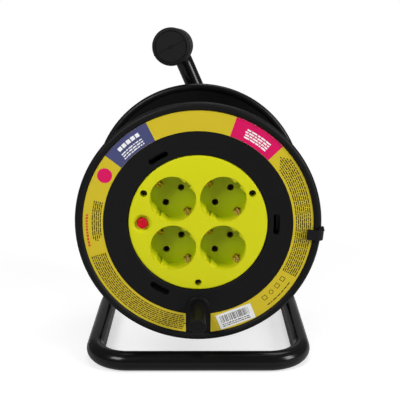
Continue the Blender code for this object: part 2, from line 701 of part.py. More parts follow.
def build_front_flange(drum):
    web_back = FRONT_WEB_FACE + FLANGE_WEB
    zone_front = -RING_ZONE_STEP
    start = 180 + bead_meets_web(FRONT_BEAD_DEPTH - FRONT_WEB_FACE)
    end = 540 - bead_meets_web(web_back - FRONT_BEAD_DEPTH)
    label_seat_inner = LABEL_INNER_RADIUS - SEAT_GAP
    ledge_outer = PLATE_OPENING_RADIUS + FLANGE_COLLAR
    profile = [
        (PLATE_OPENING_RADIUS, LEDGE_FACE), (PLATE_OPENING_RADIUS, zone_front),
        (label_seat_inner, LABEL_FACE), (label_seat_inner, FRONT_WEB_FACE),
    ]
    profile += bead(FRONT_BEAD_DEPTH, start, end)
    profile += [
        (label_seat_inner, web_back), (COLLAR_OUTER_RADIUS, zone_front + FLANGE_WEB),
        (COLLAR_OUTER_RADIUS, CORE_FRONT + COLLAR_LAP), (COLLAR_INNER_RADIUS, CORE_FRONT + COLLAR_LAP),
        (COLLAR_INNER_RADIUS, LEDGE_BACK), (CORE_INNER_RADIUS, LEDGE_BACK),
        (CORE_INNER_RADIUS, zone_front + FLANGE_WEB), (ledge_outer, zone_front + FLANGE_WEB),
        (ledge_outer, LEDGE_BACK), (LEDGE_RADIUS, LEDGE_BACK), (LEDGE_RADIUS, LEDGE_FACE),
    ]
    bm = bmesh.new()
    turned(bm, profile, FLANGE_SEGMENTS)
    flange = piece("front_flange", bm, "black_plastic", drum)

    boss = bmesh.new()
    x, z = polar(KNOB_CIRCLE_RADIUS, 270)
    rod(boss, KNOB_BOSS_RADIUS, KNOB_SEAT, KNOB_BOSS_BACK, x, z, ROUND_SEGMENTS)
    combine(flange, helper("knob_boss", boss, drum), "UNION")

    cuts = bmesh.new()
    slot_reach = (LABEL_PROUD + FLANGE_WEB) * 2
    for angle in SLOT_ANGLES:
        slot_cut(cuts, angle, -slot_reach, slot_reach)
    rod(cuts, KNOB_PIN_RADIUS + SEAT_GAP, -slot_reach, slot_reach, x, z)
    combine(flange, helper("flange_slots", cuts, drum), "DIFFERENCE")
    notch = bmesh.new()
    rod(notch, KNOB_PIN_HEAD_RADIUS + 2 * SEAT_GAP, KNOB_BOSS_BACK, slot_reach, x, z)
    combine(flange, helper("pin_head_notch", notch, drum), "DIFFERENCE")


def slot_cut(bm, middle, front, back):
    """A slot that curves round the drum's axis, with round ends."""
    half = SLOT_WIDTH / 2
    spread = math.degrees((SLOT_LENGTH - SLOT_WIDTH) / 2 / SLOT_RADIUS)
    outline = []
    for k in range(7):
        outline.append(polar(SLOT_RADIUS + half, middle - spread + 2 * spread * k / 6))
    outline += slot_end(middle + spread, middle)
    for k in range(7):
        outline.append(polar(SLOT_RADIUS - half, middle + spread - 2 * spread * k / 6))
    outline += slot_end(middle - spread, middle + 180)
    prism(bm, outline, front, back)


def slot_end(angle, facing):
    """The points of a round slot end between its two sides."""
    x, z = polar(SLOT_RADIUS, angle)
    points = []
    for k in range(1, 6):
        dx, dz = polar(SLOT_WIDTH / 2, facing + 30 * k)
        points.append((x + dx, z + dz))
    return points


def build_core(drum):
    """The barrel that the cable winds on, with screw posts in front and a screwed end flange behind."""
    bm = bmesh.new()
    profile = [
        (CORE_INNER_RADIUS, CORE_FRONT), (CORE_RADIUS, CORE_FRONT), (CORE_RADIUS, CORE_BACK),
        (CORE_END_FLANGE_INNER_RADIUS, CORE_BACK),
        (CORE_END_FLANGE_INNER_RADIUS, CORE_BACK - CORE_END_FLANGE),
        (CORE_INNER_RADIUS, CORE_BACK - CORE_END_FLANGE),
    ]
    turned(bm, profile, CORE_SEGMENTS)
    core = piece("winding_core", bm, "black_plastic", drum)

    posts = bmesh.new()
    for angle in SCREW_ANGLES:
        post(posts, angle)
    combine(core, helper("screw_posts", posts, drum), "UNION")

    holes = bmesh.new()
    for angle in SCREW_ANGLES:
        x, z = polar(SCREW_CIRCLE_RADIUS, angle)
        rod(holes, SCREW_SHANK_RADIUS + SEAT_GAP, POST_FRONT - SEAT_GAP, POST_FRONT + SCREW_LENGTH, x, z)
    for x, z in core_screw_places():
        rod(holes, SCREW_SHANK_RADIUS + SEAT_GAP, CORE_BACK - 2 * CORE_END_FLANGE, CORE_BACK + SEAT_GAP, x, z)
    bore = bmesh.new()
    rod(bore, INLET_BORE_RADIUS + INLET_WALL + SEAT_GAP, CORE_INNER_RADIUS / 2, CORE_RADIUS * 2)
    bmesh.ops.rotate(bore, verts=bore.verts, cent=(0, 0, 0), matrix=Matrix.Rotation(math.radians(90), 3, "X"))
    bmesh.ops.translate(bore, verts=bore.verts, vec=(0, INLET_DEPTH, 0))
    combine(core, helper("core_screw_holes", holes, drum), "DIFFERENCE")
    combine(core, helper("inlet_hole", bore, drum), "DIFFERENCE")


def post(bm, angle):
    """A screw post that stands on a rib on the barrel's inner wall, as one outline carried backwards."""
    reach = (CORE_INNER_RADIUS + CORE_RADIUS) / 2 - SCREW_CIRCLE_RADIUS
    outline = [(reach, -POST_RADIUS)]
    outline += [(reach, POST_RADIUS)]
    outline += [polar(POST_RADIUS, 90 + 22.5 * k) for k in range(9)]
    cx, cz = polar(SCREW_CIRCLE_RADIUS, angle)
    turn = Matrix.Rotation(math.radians(angle), 2)
    points = [turn @ Vector(p) + Vector((cx, cz)) for p in outline]
    prism(bm, points, POST_FRONT, POST_FRONT + POST_LENGTH)


def core_screw_places():
    return [polar(CORE_SCREW_CIRCLE_RADIUS, 45 + 360 * k / CORE_SCREW_COUNT) for k in range(CORE_SCREW_COUNT)]


def build_rear_flange(drum):
    """Rim, web, collar round the core and a long hub that carries the bush."""
    start = 180 + bead_meets_web(REAR_BEAD_DEPTH - REAR_WEB_FACE)
    end = 540 - bead_meets_web(REAR_WEB_BACK - REAR_BEAD_DEPTH)
    profile = [
        (HUB_BORE_RADIUS, HUB_FRONT_DEPTH), (HUB_RADIUS, HUB_FRONT_DEPTH), (HUB_RADIUS, REAR_WEB_FACE),
        (COLLAR_INNER_RADIUS, REAR_WEB_FACE), (COLLAR_INNER_RADIUS, CORE_BACK - COLLAR_LAP),
        (COLLAR_OUTER_RADIUS, CORE_BACK - COLLAR_LAP), (COLLAR_OUTER_RADIUS, REAR_WEB_FACE),
    ]
    profile += bead(REAR_BEAD_DEPTH, start, end)
    profile += [(HUB_RADIUS, REAR_WEB_BACK), (HUB_RADIUS, HUB_BACK), (HUB_BORE_RADIUS, HUB_BACK)]
    bm = bmesh.new()
    turned(bm, profile, FLANGE_SEGMENTS)
    flange = piece("rear_flange", bm, "black_plastic", drum)

    holes = bmesh.new()
    for x, z in core_screw_places():
        rod(holes, SCREW_SHANK_RADIUS + SEAT_GAP, REAR_WEB_FACE - FLANGE_WEB, REAR_WEB_BACK + FLANGE_WEB, x, z)
    combine(flange, helper("rear_screw_holes", holes, drum), "DIFFERENCE")

    shank_end = CORE_BACK - CORE_END_FLANGE - SCREW_SHANK_RADIUS
    for number, (x, z) in enumerate(core_screw_places(), 1):
        head = REAR_WEB_BACK + SEAT_GAP
        build_screw(
            f"core_screw_{number}", drum, x, z, head, head + CORE_SCREW_HEAD, shank_end, CORE_SCREW_HEAD_RADIUS
        )


def build_screw(name, parent, x, z, seat, head_end, shank_end, head_radius):
    """A screw along Y: its head lies between seat and head_end, its shank between seat and shank_end."""
    profile = [
        (0, head_end), (head_radius - SCREW_HEAD_EDGE, head_end), (head_radius, (head_end + seat) / 2),
        (head_radius, seat),
        (SCREW_SHANK_RADIUS, seat), (SCREW_SHANK_RADIUS, shank_end), (0, shank_end),
    ]
    bm = bmesh.new()
    turned(bm, profile, SMALL_SEGMENTS)
    return piece(name, bm, "zinc_steel", parent, location=(x, 0, z))


def build_hub_bush(drum):
    profile = [
        (BUSH_BORE_RADIUS, HUB_FRONT_DEPTH), (BUSH_RADIUS, HUB_FRONT_DEPTH),
        (BUSH_RADIUS, HUB_BACK + SEAT_GAP), (BUSH_COLLAR_RADIUS, HUB_BACK + SEAT_GAP),
        (BUSH_COLLAR_RADIUS, HUB_BACK + SEAT_GAP + BUSH_COLLAR),
        (BUSH_BORE_RADIUS, HUB_BACK + SEAT_GAP + BUSH_COLLAR),
    ]
    bm = bmesh.new()
    turned(bm, profile, ROUND_SEGMENTS)
    piece("hub_bush", bm, "grey_plastic", drum)


def build_inlet_bush(drum):
    """A snap-in bush through the barrel wall, a collar on each side of the wall."""
    sleeve = INLET_BORE_RADIUS + INLET_WALL
    collar = sleeve + INLET_COLLAR
    inside = CORE_INNER_RADIUS * math.cos(math.pi / CORE_SEGMENTS) * math.cos(math.asin(collar / CORE_RADIUS))
    outside = CORE_RADIUS
    inner_face = inside - SEAT_GAP
    outer_face = outside + SEAT_GAP
    profile = [
        (INLET_BORE_RADIUS, inner_face - INLET_COLLAR_THICKNESS), (collar, inner_face - INLET_COLLAR_THICKNESS),
        (collar, inner_face), (sleeve, inner_face), (sleeve, outer_face), (collar, outer_face),
        (collar, outer_face + INLET_COLLAR_THICKNESS),
        (INLET_BORE_RADIUS, outer_face + INLET_COLLAR_THICKNESS),
    ]
    bm = bmesh.new()
    turned(bm, profile, SMALL_SEGMENTS)
    bmesh.ops.rotate(bm, verts=bm.verts, cent=(0, 0, 0), matrix=Matrix.Rotation(math.radians(90), 3, "X"))
    piece("cable_inlet_bush", bm, "grey_plastic", drum, location=(0, INLET_DEPTH, 0))


def build_label(drum):
    bm = bmesh.new()
    back = LABEL_FACE + LABEL_THICKNESS
    profile = [
        (LABEL_INNER_RADIUS, LABEL_FACE), (LABEL_OUTER_RADIUS, LABEL_FACE),
        (LABEL_OUTER_RADIUS, back), (LABEL_INNER_RADIUS, back),
    ]
    turned(bm, profile, FLANGE_SEGMENTS)
    label = piece("label_ring", bm, "label", drum)
    notch = bmesh.new()
    half = LABEL_GAP_WIDTH / 2
    block(notch, (-half, LABEL_FACE - LABEL_PROUD, -LABEL_OUTER_RADIUS - half), (half, LABEL_PROUD, 0))
    combine(label, helper("label_notch", notch, drum), "DIFFERENCE")


def build_rim_clip(drum):
    """A clip over the front rim: a hooked leg in front, a bend round the bead and a leg behind."""
    middle_r = FLANGE_RADIUS - RIM_BEAD_RADIUS
    gap = RIM_BEAD_RADIUS + SEAT_GAP
    outer = gap + CLIP_THICKNESS
    tip = FLANGE_RADIUS - CLIP_INNER_REACH
    hook = LABEL_FACE - SEAT_GAP
    path = [(tip, hook), (tip + CLIP_THICKNESS, hook), (tip + CLIP_THICKNESS, FRONT_BEAD_DEPTH - gap)]
    path += arc(middle_r, FRONT_BEAD_DEPTH, gap / math.cos(math.radians(9)), -81, 81, 9)
    path += [(tip + CLIP_THICKNESS, FRONT_BEAD_DEPTH + gap), (tip + CLIP_THICKNESS, FRONT_BEAD_DEPTH + outer)]
    path += arc(middle_r, FRONT_BEAD_DEPTH, outer, 90, -90, 10)
    path += [(tip, FRONT_BEAD_DEPTH - outer)]
    bm = bmesh.new()
    face = bm.faces.new([bm.verts.new((r, y, -CLIP_WIDTH / 2)) for r, y in path])
    made = bmesh.ops.extrude_face_region(bm, geom=[face])["geom"]
    moved = [v for v in made if isinstance(v, bmesh.types.BMVert)]
    bmesh.ops.translate(bm, verts=moved, vec=(0, 0, CLIP_WIDTH))
    clip = piece("rim_clip", bm, "black_plastic", drum)
    clip.rotation_euler.y = -math.radians(CLIP_ANGLE)


# ---- socket plate and what it carries ----

def build_socket_plate(drum):
    edge = PLATE_RADIUS - PLATE_EDGE_RADIUS
    profile = [(0, 0)]
    profile += arc(edge, PLATE_EDGE_RADIUS, PLATE_EDGE_RADIUS, -90, 0, EDGE_STEPS)
    profile += [(PLATE_RADIUS, PLATE_THICKNESS), (0, PLATE_THICKNESS)]
    bm = bmesh.new()
    turned(bm, profile, FLANGE_SEGMENTS)
    plate = piece("socket_plate", bm, "lime_plastic", drum)

    inside_plate = PLATE_THICKNESS / 2
    cups = bmesh.new()
    for x, z in SOCKET_CENTRES:
        rod(cups, SOCKET_RADIUS + SOCKET_WALL, inside_plate, SOCKET_FLOOR_BACK, x, z, SOCKET_SEGMENTS)
    rod(cups, DISH_RADIUS, inside_plate, DISH_BACK, BUTTON_X, 0, ROUND_SEGMENTS)
    rod(cups, CENTRE_BOSS_RADIUS, inside_plate, CARRIER_FRONT - SEAT_GAP, 0, 0)
    combine(plate, helper("plate_cups", cups, drum), "UNION")
    bosses = bmesh.new()
    for angle in SCREW_ANGLES:
        x, z = polar(SCREW_CIRCLE_RADIUS, angle)
        rod(bosses, SCREW_WELL_RADIUS + SCREW_WELL_WALL, inside_plate, SCREW_WELL_BACK, x, z)
    combine(plate, helper("plate_screw_bosses", bosses, drum), "UNION")

    wells = bmesh.new()
    for x, z in SOCKET_CENTRES:
        prism(wells, socket_outline(x, z), -PLATE_THICKNESS, SOCKET_DEPTH)
    for angle in SCREW_ANGLES:
        x, z = polar(SCREW_CIRCLE_RADIUS, angle)
        rod(wells, SCREW_WELL_RADIUS, -PLATE_THICKNESS, SCREW_WELL_DEPTH, x, z)
    dish = [(0, -PLATE_THICKNESS), (DISH_RADIUS, -PLATE_THICKNESS), (DISH_RADIUS - SEAT_GAP, 0)]
    dish += [(DISH_FLOOR_RADIUS, DISH_DEPTH), (0, DISH_DEPTH)]
    turned(wells, dish, ROUND_SEGMENTS, BUTTON_X, 0)
    combine(plate, helper("plate_wells", wells, drum), "DIFFERENCE")

    holes = bmesh.new()
    floor_front = SOCKET_DEPTH - SOCKET_FLOOR / 2
    floor_back = SOCKET_FLOOR_BACK + SOCKET_FLOOR
    for x, z in SOCKET_CENTRES:
        for side in (1, -1):
            rod(holes, PIN_HOLE_RADIUS, floor_front, floor_back, x + side * PIN_OFFSET, z + side * PIN_OFFSET)
            earth_slot(holes, x, z, side, floor_front, floor_back)
    combine(plate, helper("contact_holes", holes, drum), "DIFFERENCE")
    bores = bmesh.new()
    for angle in SCREW_ANGLES:
        x, z = polar(SCREW_CIRCLE_RADIUS, angle)
        rod(bores, SCREW_SHANK_RADIUS + SEAT_GAP, SCREW_WELL_DEPTH / 2, SCREW_WELL_BACK * 2, x, z)
    rod(bores, BUTTON_RADIUS + BUTTON_CLEARANCE, 0, DISH_BACK * 2, BUTTON_X, 0, ROUND_SEGMENTS)
    rod(bores, SCREW_SHANK_RADIUS + SEAT_GAP, SOCKET_DEPTH / 2, CARRIER_FRONT * 2, 0, 0)
    combine(plate, helper("plate_bores", bores, drum), "DIFFERENCE")


def socket_outline(x, z):
    """A round socket with a flat guide on two sides. Each guide has a groove in its middle."""
    spread = math.degrees(math.acos(GUIDE_REACH / SOCKET_RADIUS))
    half = GUIDE_GROOVE_WIDTH / 2
    groove_floor = GUIDE_REACH + GUIDE_GROOVE_DEPTH
    points = []
    for angle in GUIDE_ANGLES:
        turn = Matrix.Rotation(math.radians(angle), 2)
        groove = [(GUIDE_REACH, -half), (groove_floor, -half), (groove_floor, half), (GUIDE_REACH, half)]
        points += [turn @ Vector(p) for p in groove]
        sweep = 180 - 2 * spread
        points += [
            polar(SOCKET_RADIUS, angle + spread + sweep * k / SOCKET_ARC_STEPS) for k in range(SOCKET_ARC_STEPS + 1)
        ]
    return [(x + px, z + pz) for px, pz in points]


def earth_line(depth):
    """Distance of the earth contact's upright arm from the socket's centre."""
    rest = SOCKET_RADIUS - SEAT_GAP - EARTH_THICKNESS
    return rest - EARTH_BULGE * math.sin(math.pi * depth / SOCKET_DEPTH)


def earth_slot(bm, x, z, side, front, back):
    middle = earth_line(SOCKET_DEPTH)
    half = EARTH_THICKNESS / 2 + SEAT_GAP
    outline = [
        (middle - half, -EARTH_WIDTH / 2 - SEAT_GAP), (middle + half, -EARTH_WIDTH / 2 - SEAT_GAP),
        (middle + half, EARTH_WIDTH / 2 + SEAT_GAP), (middle - half, EARTH_WIDTH / 2 + SEAT_GAP),
    ]
    turn = Matrix.Rotation(math.radians(EARTH_ANGLE), 2)
    prism(bm, [turn @ Vector(p) * side + Vector((x, z)) for p in outline], front, back)


def build_earth_contacts(drum):
    """Each socket has one strip: an arm up each side of the socket and a strap across behind its floor."""
    strap = CONTACT_FRONT + EARTH_THICKNESS / 2
    reach = SOCKET_DEPTH - EARTH_TIP_DEPTH
    depths = [EARTH_TIP_DEPTH + reach * k / EARTH_STEPS for k in range(EARTH_STEPS + 1)]
    arm = [(earth_line(d), d) for d in depths] + [(earth_line(SOCKET_DEPTH), strap)]
    path = arm + [(-u, d) for u, d in reversed(arm)]
    for number, (x, z) in enumerate(SOCKET_CENTRES, 1):
        bm = bmesh.new()
        along = Vector((math.cos(math.radians(EARTH_ANGLE)), 0, math.sin(math.radians(EARTH_ANGLE))))
        across = along.cross(Vector((0, 1, 0)))
        matrix = Matrix((along, Vector((0, 1, 0)), across)).transposed().to_4x4()
        matrix.translation = (x, 0, z)
        ribbon(bm, path, EARTH_THICKNESS, EARTH_WIDTH, matrix)
        piece(f"earth_contact_{number}", bm, "brass", drum)


def build_contact_bar(name, drum, side, face):
    """A stamped bar with a sleeve for one pin of every socket, joined as one piece."""
    places = [(x + side * PIN_OFFSET, z + side * PIN_OFFSET) for x, z in SOCKET_CENTRES]
    xs = sorted({round(x, 6) for x, z in places})
    zs = sorted({round(z, 6) for x, z in places})
    link_x = xs[1] if side > 0 else xs[0]
    half = BAR_WIDTH / 2
    low, high = face, face + BAR_THICKNESS
    if side > 0:
        outline = [
            (xs[0] - half, zs[0] - half), (xs[1] + half, zs[0] - half), (xs[1] + half, zs[1] + half),
            (xs[0] - half, zs[1] + half), (xs[0] - half, zs[1] - half), (link_x - half, zs[1] - half),
            (link_x - half, zs[0] + half), (xs[0] - half, zs[0] + half),
        ]
    else:
        outline = [
            (xs[0] - half, zs[0] - half), (xs[1] + half, zs[0] - half), (xs[1] + half, zs[0] + half),
            (link_x + half, zs[0] + half), (link_x + half, zs[1] - half), (xs[1] + half, zs[1] - half),
            (xs[1] + half, zs[1] + half), (xs[0] - half, zs[1] + half),
        ]
    bm = bmesh.new()
    prism(bm, outline, low, high)
    bar = piece(name, bm, "brass", drum)
    sleeves = bmesh.new()
    front = CARRIER_BACK - PIN_CONTACT_LENGTH
    for x, z in places:
        profile = [
            (0, high - BAR_THICKNESS / 2), (PIN_CONTACT_RADIUS, high - BAR_THICKNESS / 2),
            (PIN_CONTACT_RADIUS, front), (PIN_CONTACT_BORE, front), (PIN_CONTACT_BORE, low - SEAT_GAP),
            (0, low - SEAT_GAP),
        ]
        turned(sleeves, profile, SMALL_SEGMENTS, x, z)
    combine(bar, helper(f"{name}_sleeves", sleeves, drum), "UNION")


def carrier_outline(grow=0.0):
    half = CARRIER_HALF_WIDTH + grow
    cut = CARRIER_CORNER
    return [
        (half - cut, -half), (half, -half + cut), (half, half - cut), (half - cut, half),
        (-half + cut, half), (-half, half - cut), (-half, -half + cut), (-half + cut, -half),
    ]


def build_carrier(drum):
    """An insulating block that holds the pin sleeves, and the cover over the bars behind it."""
    bm = bmesh.new()
    prism(bm, carrier_outline(), CARRIER_FRONT, CARRIER_BACK)
    carrier = piece("contact_carrier", bm, "grey_plastic", drum)
    holes = bmesh.new()
    for x, z in SOCKET_CENTRES:
        for side in (1, -1):
            rod(
                holes, PIN_CONTACT_RADIUS + SEAT_GAP, CARRIER_FRONT - SEAT_GAP, CARRIER_BACK + SEAT_GAP,
                x + side * PIN_OFFSET, z + side * PIN_OFFSET,
            )
    rod(holes, SCREW_SHANK_RADIUS + SEAT_GAP, CARRIER_FRONT - SEAT_GAP, CARRIER_BACK + SEAT_GAP, 0, 0)
    combine(carrier, helper("carrier_holes", holes, drum), "DIFFERENCE")

    cover_front = CARRIER_BACK + SEAT_GAP
    shell = bmesh.new()
    prism(shell, carrier_outline(), cover_front, COVER_BACK)
    cover = piece("carrier_cover", shell, "grey_plastic", drum)
    room = bmesh.new()
    prism(room, carrier_outline(-COVER_WALL), cover_front - COVER_WALL, COVER_BACK - COVER_WALL)
    combine(cover, helper("cover_room", room, drum), "DIFFERENCE")
    centre = bmesh.new()
    rod(centre, CENTRE_BOSS_RADIUS, cover_front, COVER_BACK - COVER_WALL / 2)
    combine(cover, helper("cover_boss", centre, drum), "UNION")
    hole = bmesh.new()
    rod(hole, SCREW_SHANK_RADIUS + SEAT_GAP, cover_front - SEAT_GAP, COVER_BACK + SEAT_GAP, 0, 0)
    combine(cover, helper("cover_screw_hole", hole, drum), "DIFFERENCE")

    head = COVER_BACK + SEAT_GAP
    shank_end = SOCKET_DEPTH / 2 + SEAT_GAP
    build_screw("carrier_screw", drum, 0, 0, head, head + SCREW_HEAD_HEIGHT, shank_end, CARRIER_SCREW_HEAD_RADIUS)


def build_plate_screws(drum):
    seat = SCREW_WELL_DEPTH - SEAT_GAP
    shank_end = POST_FRONT + SCREW_LENGTH - SEAT_GAP
    for number, angle in enumerate(SCREW_ANGLES, 1):
        x, z = polar(SCREW_CIRCLE_RADIUS, angle)
        build_screw(
            f"plate_screw_{number}", drum, x, z, seat, seat - SCREW_HEAD_HEIGHT, shank_end, SCREW_HEAD_RADIUS
        )


def build_breaker(drum):
    """The overload breaker's case, with a stepped bore for the button, its stem and its spring."""
    half = BREAKER_WIDTH / 2
    tall = BREAKER_HEIGHT / 2
    bm = bmesh.new()
    block(bm, (BUTTON_X - half, BREAKER_FRONT, -tall), (BUTTON_X + half, BREAKER_FRONT + BREAKER_DEPTH, tall))
    breaker = piece("breaker_case", bm, "grey_plastic", drum)
    stem_room = BUTTON_CAP_BACK + BUTTON_STEM_LENGTH + BUTTON_TRAVEL + 2 * SEAT_GAP
    bores = bmesh.new()
    profile = [
        (0, BREAKER_FRONT - SEAT_GAP), (BUTTON_RADIUS + BUTTON_CLEARANCE, BREAKER_FRONT - SEAT_GAP),
        (BUTTON_RADIUS + BUTTON_CLEARANCE, SPRING_SEAT), (BUTTON_STEM_RADIUS + BUTTON_CLEARANCE, SPRING_SEAT),
        (BUTTON_STEM_RADIUS + BUTTON_CLEARANCE, stem_room), (0, stem_room),
    ]
    turned(bores, profile, ROUND_SEGMENTS, BUTTON_X, 0)
    combine(breaker, helper("breaker_bore", bores, drum), "DIFFERENCE")


def build_button(slide):
    """The red button: a cap with a rounded top edge and a stem that runs in the breaker."""
    profile = [(0, 0), (BUTTON_RADIUS - BUTTON_EDGE, 0), (BUTTON_RADIUS, BUTTON_EDGE)]
    profile += [(BUTTON_RADIUS, BUTTON_CAP_LENGTH)]
    profile += [(BUTTON_STEM_RADIUS, BUTTON_CAP_LENGTH)]
    profile += [(BUTTON_STEM_RADIUS, BUTTON_CAP_LENGTH + BUTTON_STEM_LENGTH)]
    profile += [(0, BUTTON_CAP_LENGTH + BUTTON_STEM_LENGTH)]
    bm = bmesh.new()
    turned(bm, profile, ROUND_SEGMENTS)
    piece("reset_button", bm, "red_button", slide)


def build_spring(drum):
    """The button's return spring round its stem, drawn at its pressed length."""
    wire = SPRING_WIRE / 2
    coil_radius = (BUTTON_STEM_RADIUS + BUTTON_CLEARANCE + BUTTON_RADIUS) / 2
    low = BUTTON_CAP_BACK + BUTTON_TRAVEL + SEAT_GAP + wire
    high = SPRING_SEAT - SEAT_GAP - wire
    steps = SPRING_STEPS * SPRING_TURNS
    points = []
    for k in range(steps + 1):
        x, z = polar(coil_radius, 360 * k / SPRING_STEPS)
        points.append(Vector((BUTTON_X + x, low + (high - low) * k / steps, z)))
    stations = []
    for k, point in enumerate(points):
        ahead = points[min(k + 1, steps)] - points[max(k - 1, 0)]
        stations.append((point, ahead.normalized()))
    frames = carried_frames(stations, 0, stations[0][1].orthogonal().normalized())
    bm = bmesh.new()
    rings = section_rings(bm, frames, wire, SPRING_SIDES)
    for one, other in zip(rings, rings[1:]):
        skin(bm, one, other)
    bm.faces.new(rings[0])
    bm.faces.new(rings[-1])
    piece("button_spring", bm, "zinc_steel", drum)


# ---- winding knob ----

def knob_bore(radius):
    """A bore in which a round piece of that radius turns freely."""
    return (radius + KNOB_RUNNING) / math.cos(math.pi / ROUND_SEGMENTS)


def build_knob(knob_axis):
    """A hollow knob that turns on its pin. Depth 0 is the drum's own depth 0."""
    edge = KNOB_EDGE_RADIUS
    front_edge = arc(KNOB_RADIUS - edge, KNOB_FRONT + edge, edge, -90, 0, EDGE_STEPS)
    snap_front, snap_back = knob_snap()
    bore = knob_bore(KNOB_PIN_RADIUS)
    groove = knob_bore(KNOB_PIN_SNAP_RADIUS)
    profile = [(0, KNOB_FRONT)] + front_edge
    profile += [
        (KNOB_NECK_RADIUS, (KNOB_FRONT + KNOB_BACK) / 2), (KNOB_RADIUS, KNOB_BACK - edge),
        (KNOB_RADIUS, KNOB_BACK), (bore, KNOB_BACK), (bore, snap_back + SEAT_GAP),
        (groove, snap_back + SEAT_GAP), (groove, KNOB_FRONT + KNOB_FRONT_WALL), (0, KNOB_FRONT + KNOB_FRONT_WALL),
    ]
    bm = bmesh.new()
    turned(bm, profile, ROUND_SEGMENTS)
    piece("winding_knob", bm, "black_plastic", knob_axis)


def knob_snap():
    """Front and back depth of the pin's snap head inside the knob."""
    front = KNOB_FRONT + KNOB_FRONT_WALL + SEAT_GAP
    return front, front + KNOB_PIN_SNAP_LENGTH


def build_knob_pin(drum):
    snap_front, snap_back = knob_snap()
    head = KNOB_BOSS_BACK + SEAT_GAP
    profile = [
        (0, snap_front), (KNOB_PIN_TIP_RADIUS, snap_front), (KNOB_PIN_SNAP_RADIUS, snap_back),
        (KNOB_PIN_RADIUS, snap_back), (KNOB_PIN_RADIUS, head), (KNOB_PIN_HEAD_RADIUS, head),
        (KNOB_PIN_HEAD_RADIUS, head + KNOB_PIN_HEAD), (0, head + KNOB_PIN_HEAD),
    ]
    bm = bmesh.new()
    turned(bm, profile, ROUND_SEGMENTS)
    x, z = polar(KNOB_CIRCLE_RADIUS, 270)
    piece("knob_pin", bm, "zinc_steel", drum, location=(x, 0, z))


def build_drum():
    drum = pivot("drum_axis", (0, PLATE_BEHIND_BAR, AXLE_HEIGHT))
    x, z = polar(KNOB_CIRCLE_RADIUS, 270)
    knob_axis = pivot("knob_axis", (x, PLATE_BEHIND_BAR, AXLE_HEIGHT + z))
    slide = pivot("button_slide", (BUTTON_X, PLATE_BEHIND_BAR + BUTTON_RECESS, AXLE_HEIGHT))
    build_front_flange(drum)
    build_core(drum)
    build_rear_flange(drum)
    build_hub_bush(drum)
    build_inlet_bush(drum)
    build_label(drum)
    build_rim_clip(drum)
    build_socket_plate(drum)
    build_plate_screws(drum)
    build_earth_contacts(drum)
    build_contact_bar("live_contact_bar", drum, 1, LIVE_BAR_FACE)
    build_contact_bar("neutral_contact_bar", drum, -1, NEUTRAL_BAR_FACE)
    build_carrier(drum)
    build_breaker(drum)
    build_spring(drum)
    build_button(slide)
    build_knob_pin(drum)
    build_knob(knob_axis)


def build_axle_group():
    fixed = pivot("axle_line", (0, PLATE_BEHIND_BAR, AXLE_HEIGHT))
    build_axle(fixed)
    build_axle_retainers(fixed)


build_stand()
build_grip()
build_bracket()
build_axle_group()
build_drum()
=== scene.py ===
import math
import random

import bmesh
import bpy
from mathutils import Matrix, Vector


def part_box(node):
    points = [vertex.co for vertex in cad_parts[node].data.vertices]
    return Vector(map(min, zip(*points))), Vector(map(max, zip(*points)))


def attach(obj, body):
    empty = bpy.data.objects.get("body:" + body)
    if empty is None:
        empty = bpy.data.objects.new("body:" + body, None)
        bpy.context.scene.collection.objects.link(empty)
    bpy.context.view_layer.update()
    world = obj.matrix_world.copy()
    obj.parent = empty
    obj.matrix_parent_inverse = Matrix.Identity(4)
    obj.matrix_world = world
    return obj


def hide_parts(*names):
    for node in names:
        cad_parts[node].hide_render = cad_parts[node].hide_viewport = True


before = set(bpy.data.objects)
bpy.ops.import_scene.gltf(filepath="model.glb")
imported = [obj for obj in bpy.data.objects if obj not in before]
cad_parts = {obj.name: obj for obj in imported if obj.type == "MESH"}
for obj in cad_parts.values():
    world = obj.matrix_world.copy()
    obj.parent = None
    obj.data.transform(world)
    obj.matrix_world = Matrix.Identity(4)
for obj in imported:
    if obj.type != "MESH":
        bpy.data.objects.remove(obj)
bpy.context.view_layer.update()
print("frame loaded:", len(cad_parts), "nodes")

# Extension cord reel. Metres, +Z up, front towards -Y.
# Drum pieces are drawn about the drum's axis, with y as the depth behind the socket plate's face.

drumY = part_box("socket_plate")[0].y
axleZ = sum(corner.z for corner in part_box("rear_flange")) / 2
drumPlace = Matrix.Translation((0, drumY, axleZ))
axlePlace = Matrix.Translation((0, 0, axleZ))
worldPlace = Matrix.Identity(4)
seat = 0.0003      # clearance where pieces meet
cutPast = 0.001    # how far a cutter reaches past what it cuts


# camera, floor and light
view = {
    "place": (0.0007, -0.6513, 0.3265),
    "tilt": 75.49,            # degrees from straight down
    "turn": -0.08,
    "lens": 71.1,
    "sensor": 36.0,
}

studio = {
    "floorSize": 4.0,
    "white": 1.0,
    "skyStrength": 0.13,      # what the room gives dull surfaces
    "roomSky": 0.14,          # what a reflection sees of the room
    "backdropEdge": (0.86, 0.985),   # how far round a reflection sees the pale backdrop
    "backdropShine": 0.5,
    "floorColour": (0.54, 0.54, 0.54),
    "floorLift": 0.60,
    "floorFade": (0.30, 0.62),
    "lamps": (
        # name, place, size, power; each aims at the drum
        ("keyLamp", (-0.67, -0.75, 0.92), (0.5, 0.5), 10.2),
        ("stripLamp", (1.25, -0.62, 0.75), (0.45, 0.8), 17.0),
        ("topLamp", (0.2, 0.5, 1.7), (1.0, 1.0), 10.0),
    ),
}


def makeCamera():
    lens = bpy.data.cameras.new("photoCamera")
    lens.lens = view["lens"]
    lens.sensor_width = view["sensor"]
    lens.clip_start = 0.01
    lens.clip_end = 50
    camera = bpy.data.objects.new("photoCamera", lens)
    camera.location = view["place"]
    camera.rotation_euler = (math.radians(view["tilt"]), 0, math.radians(view["turn"]))
    bpy.context.collection.objects.link(camera)
    bpy.context.scene.camera = camera


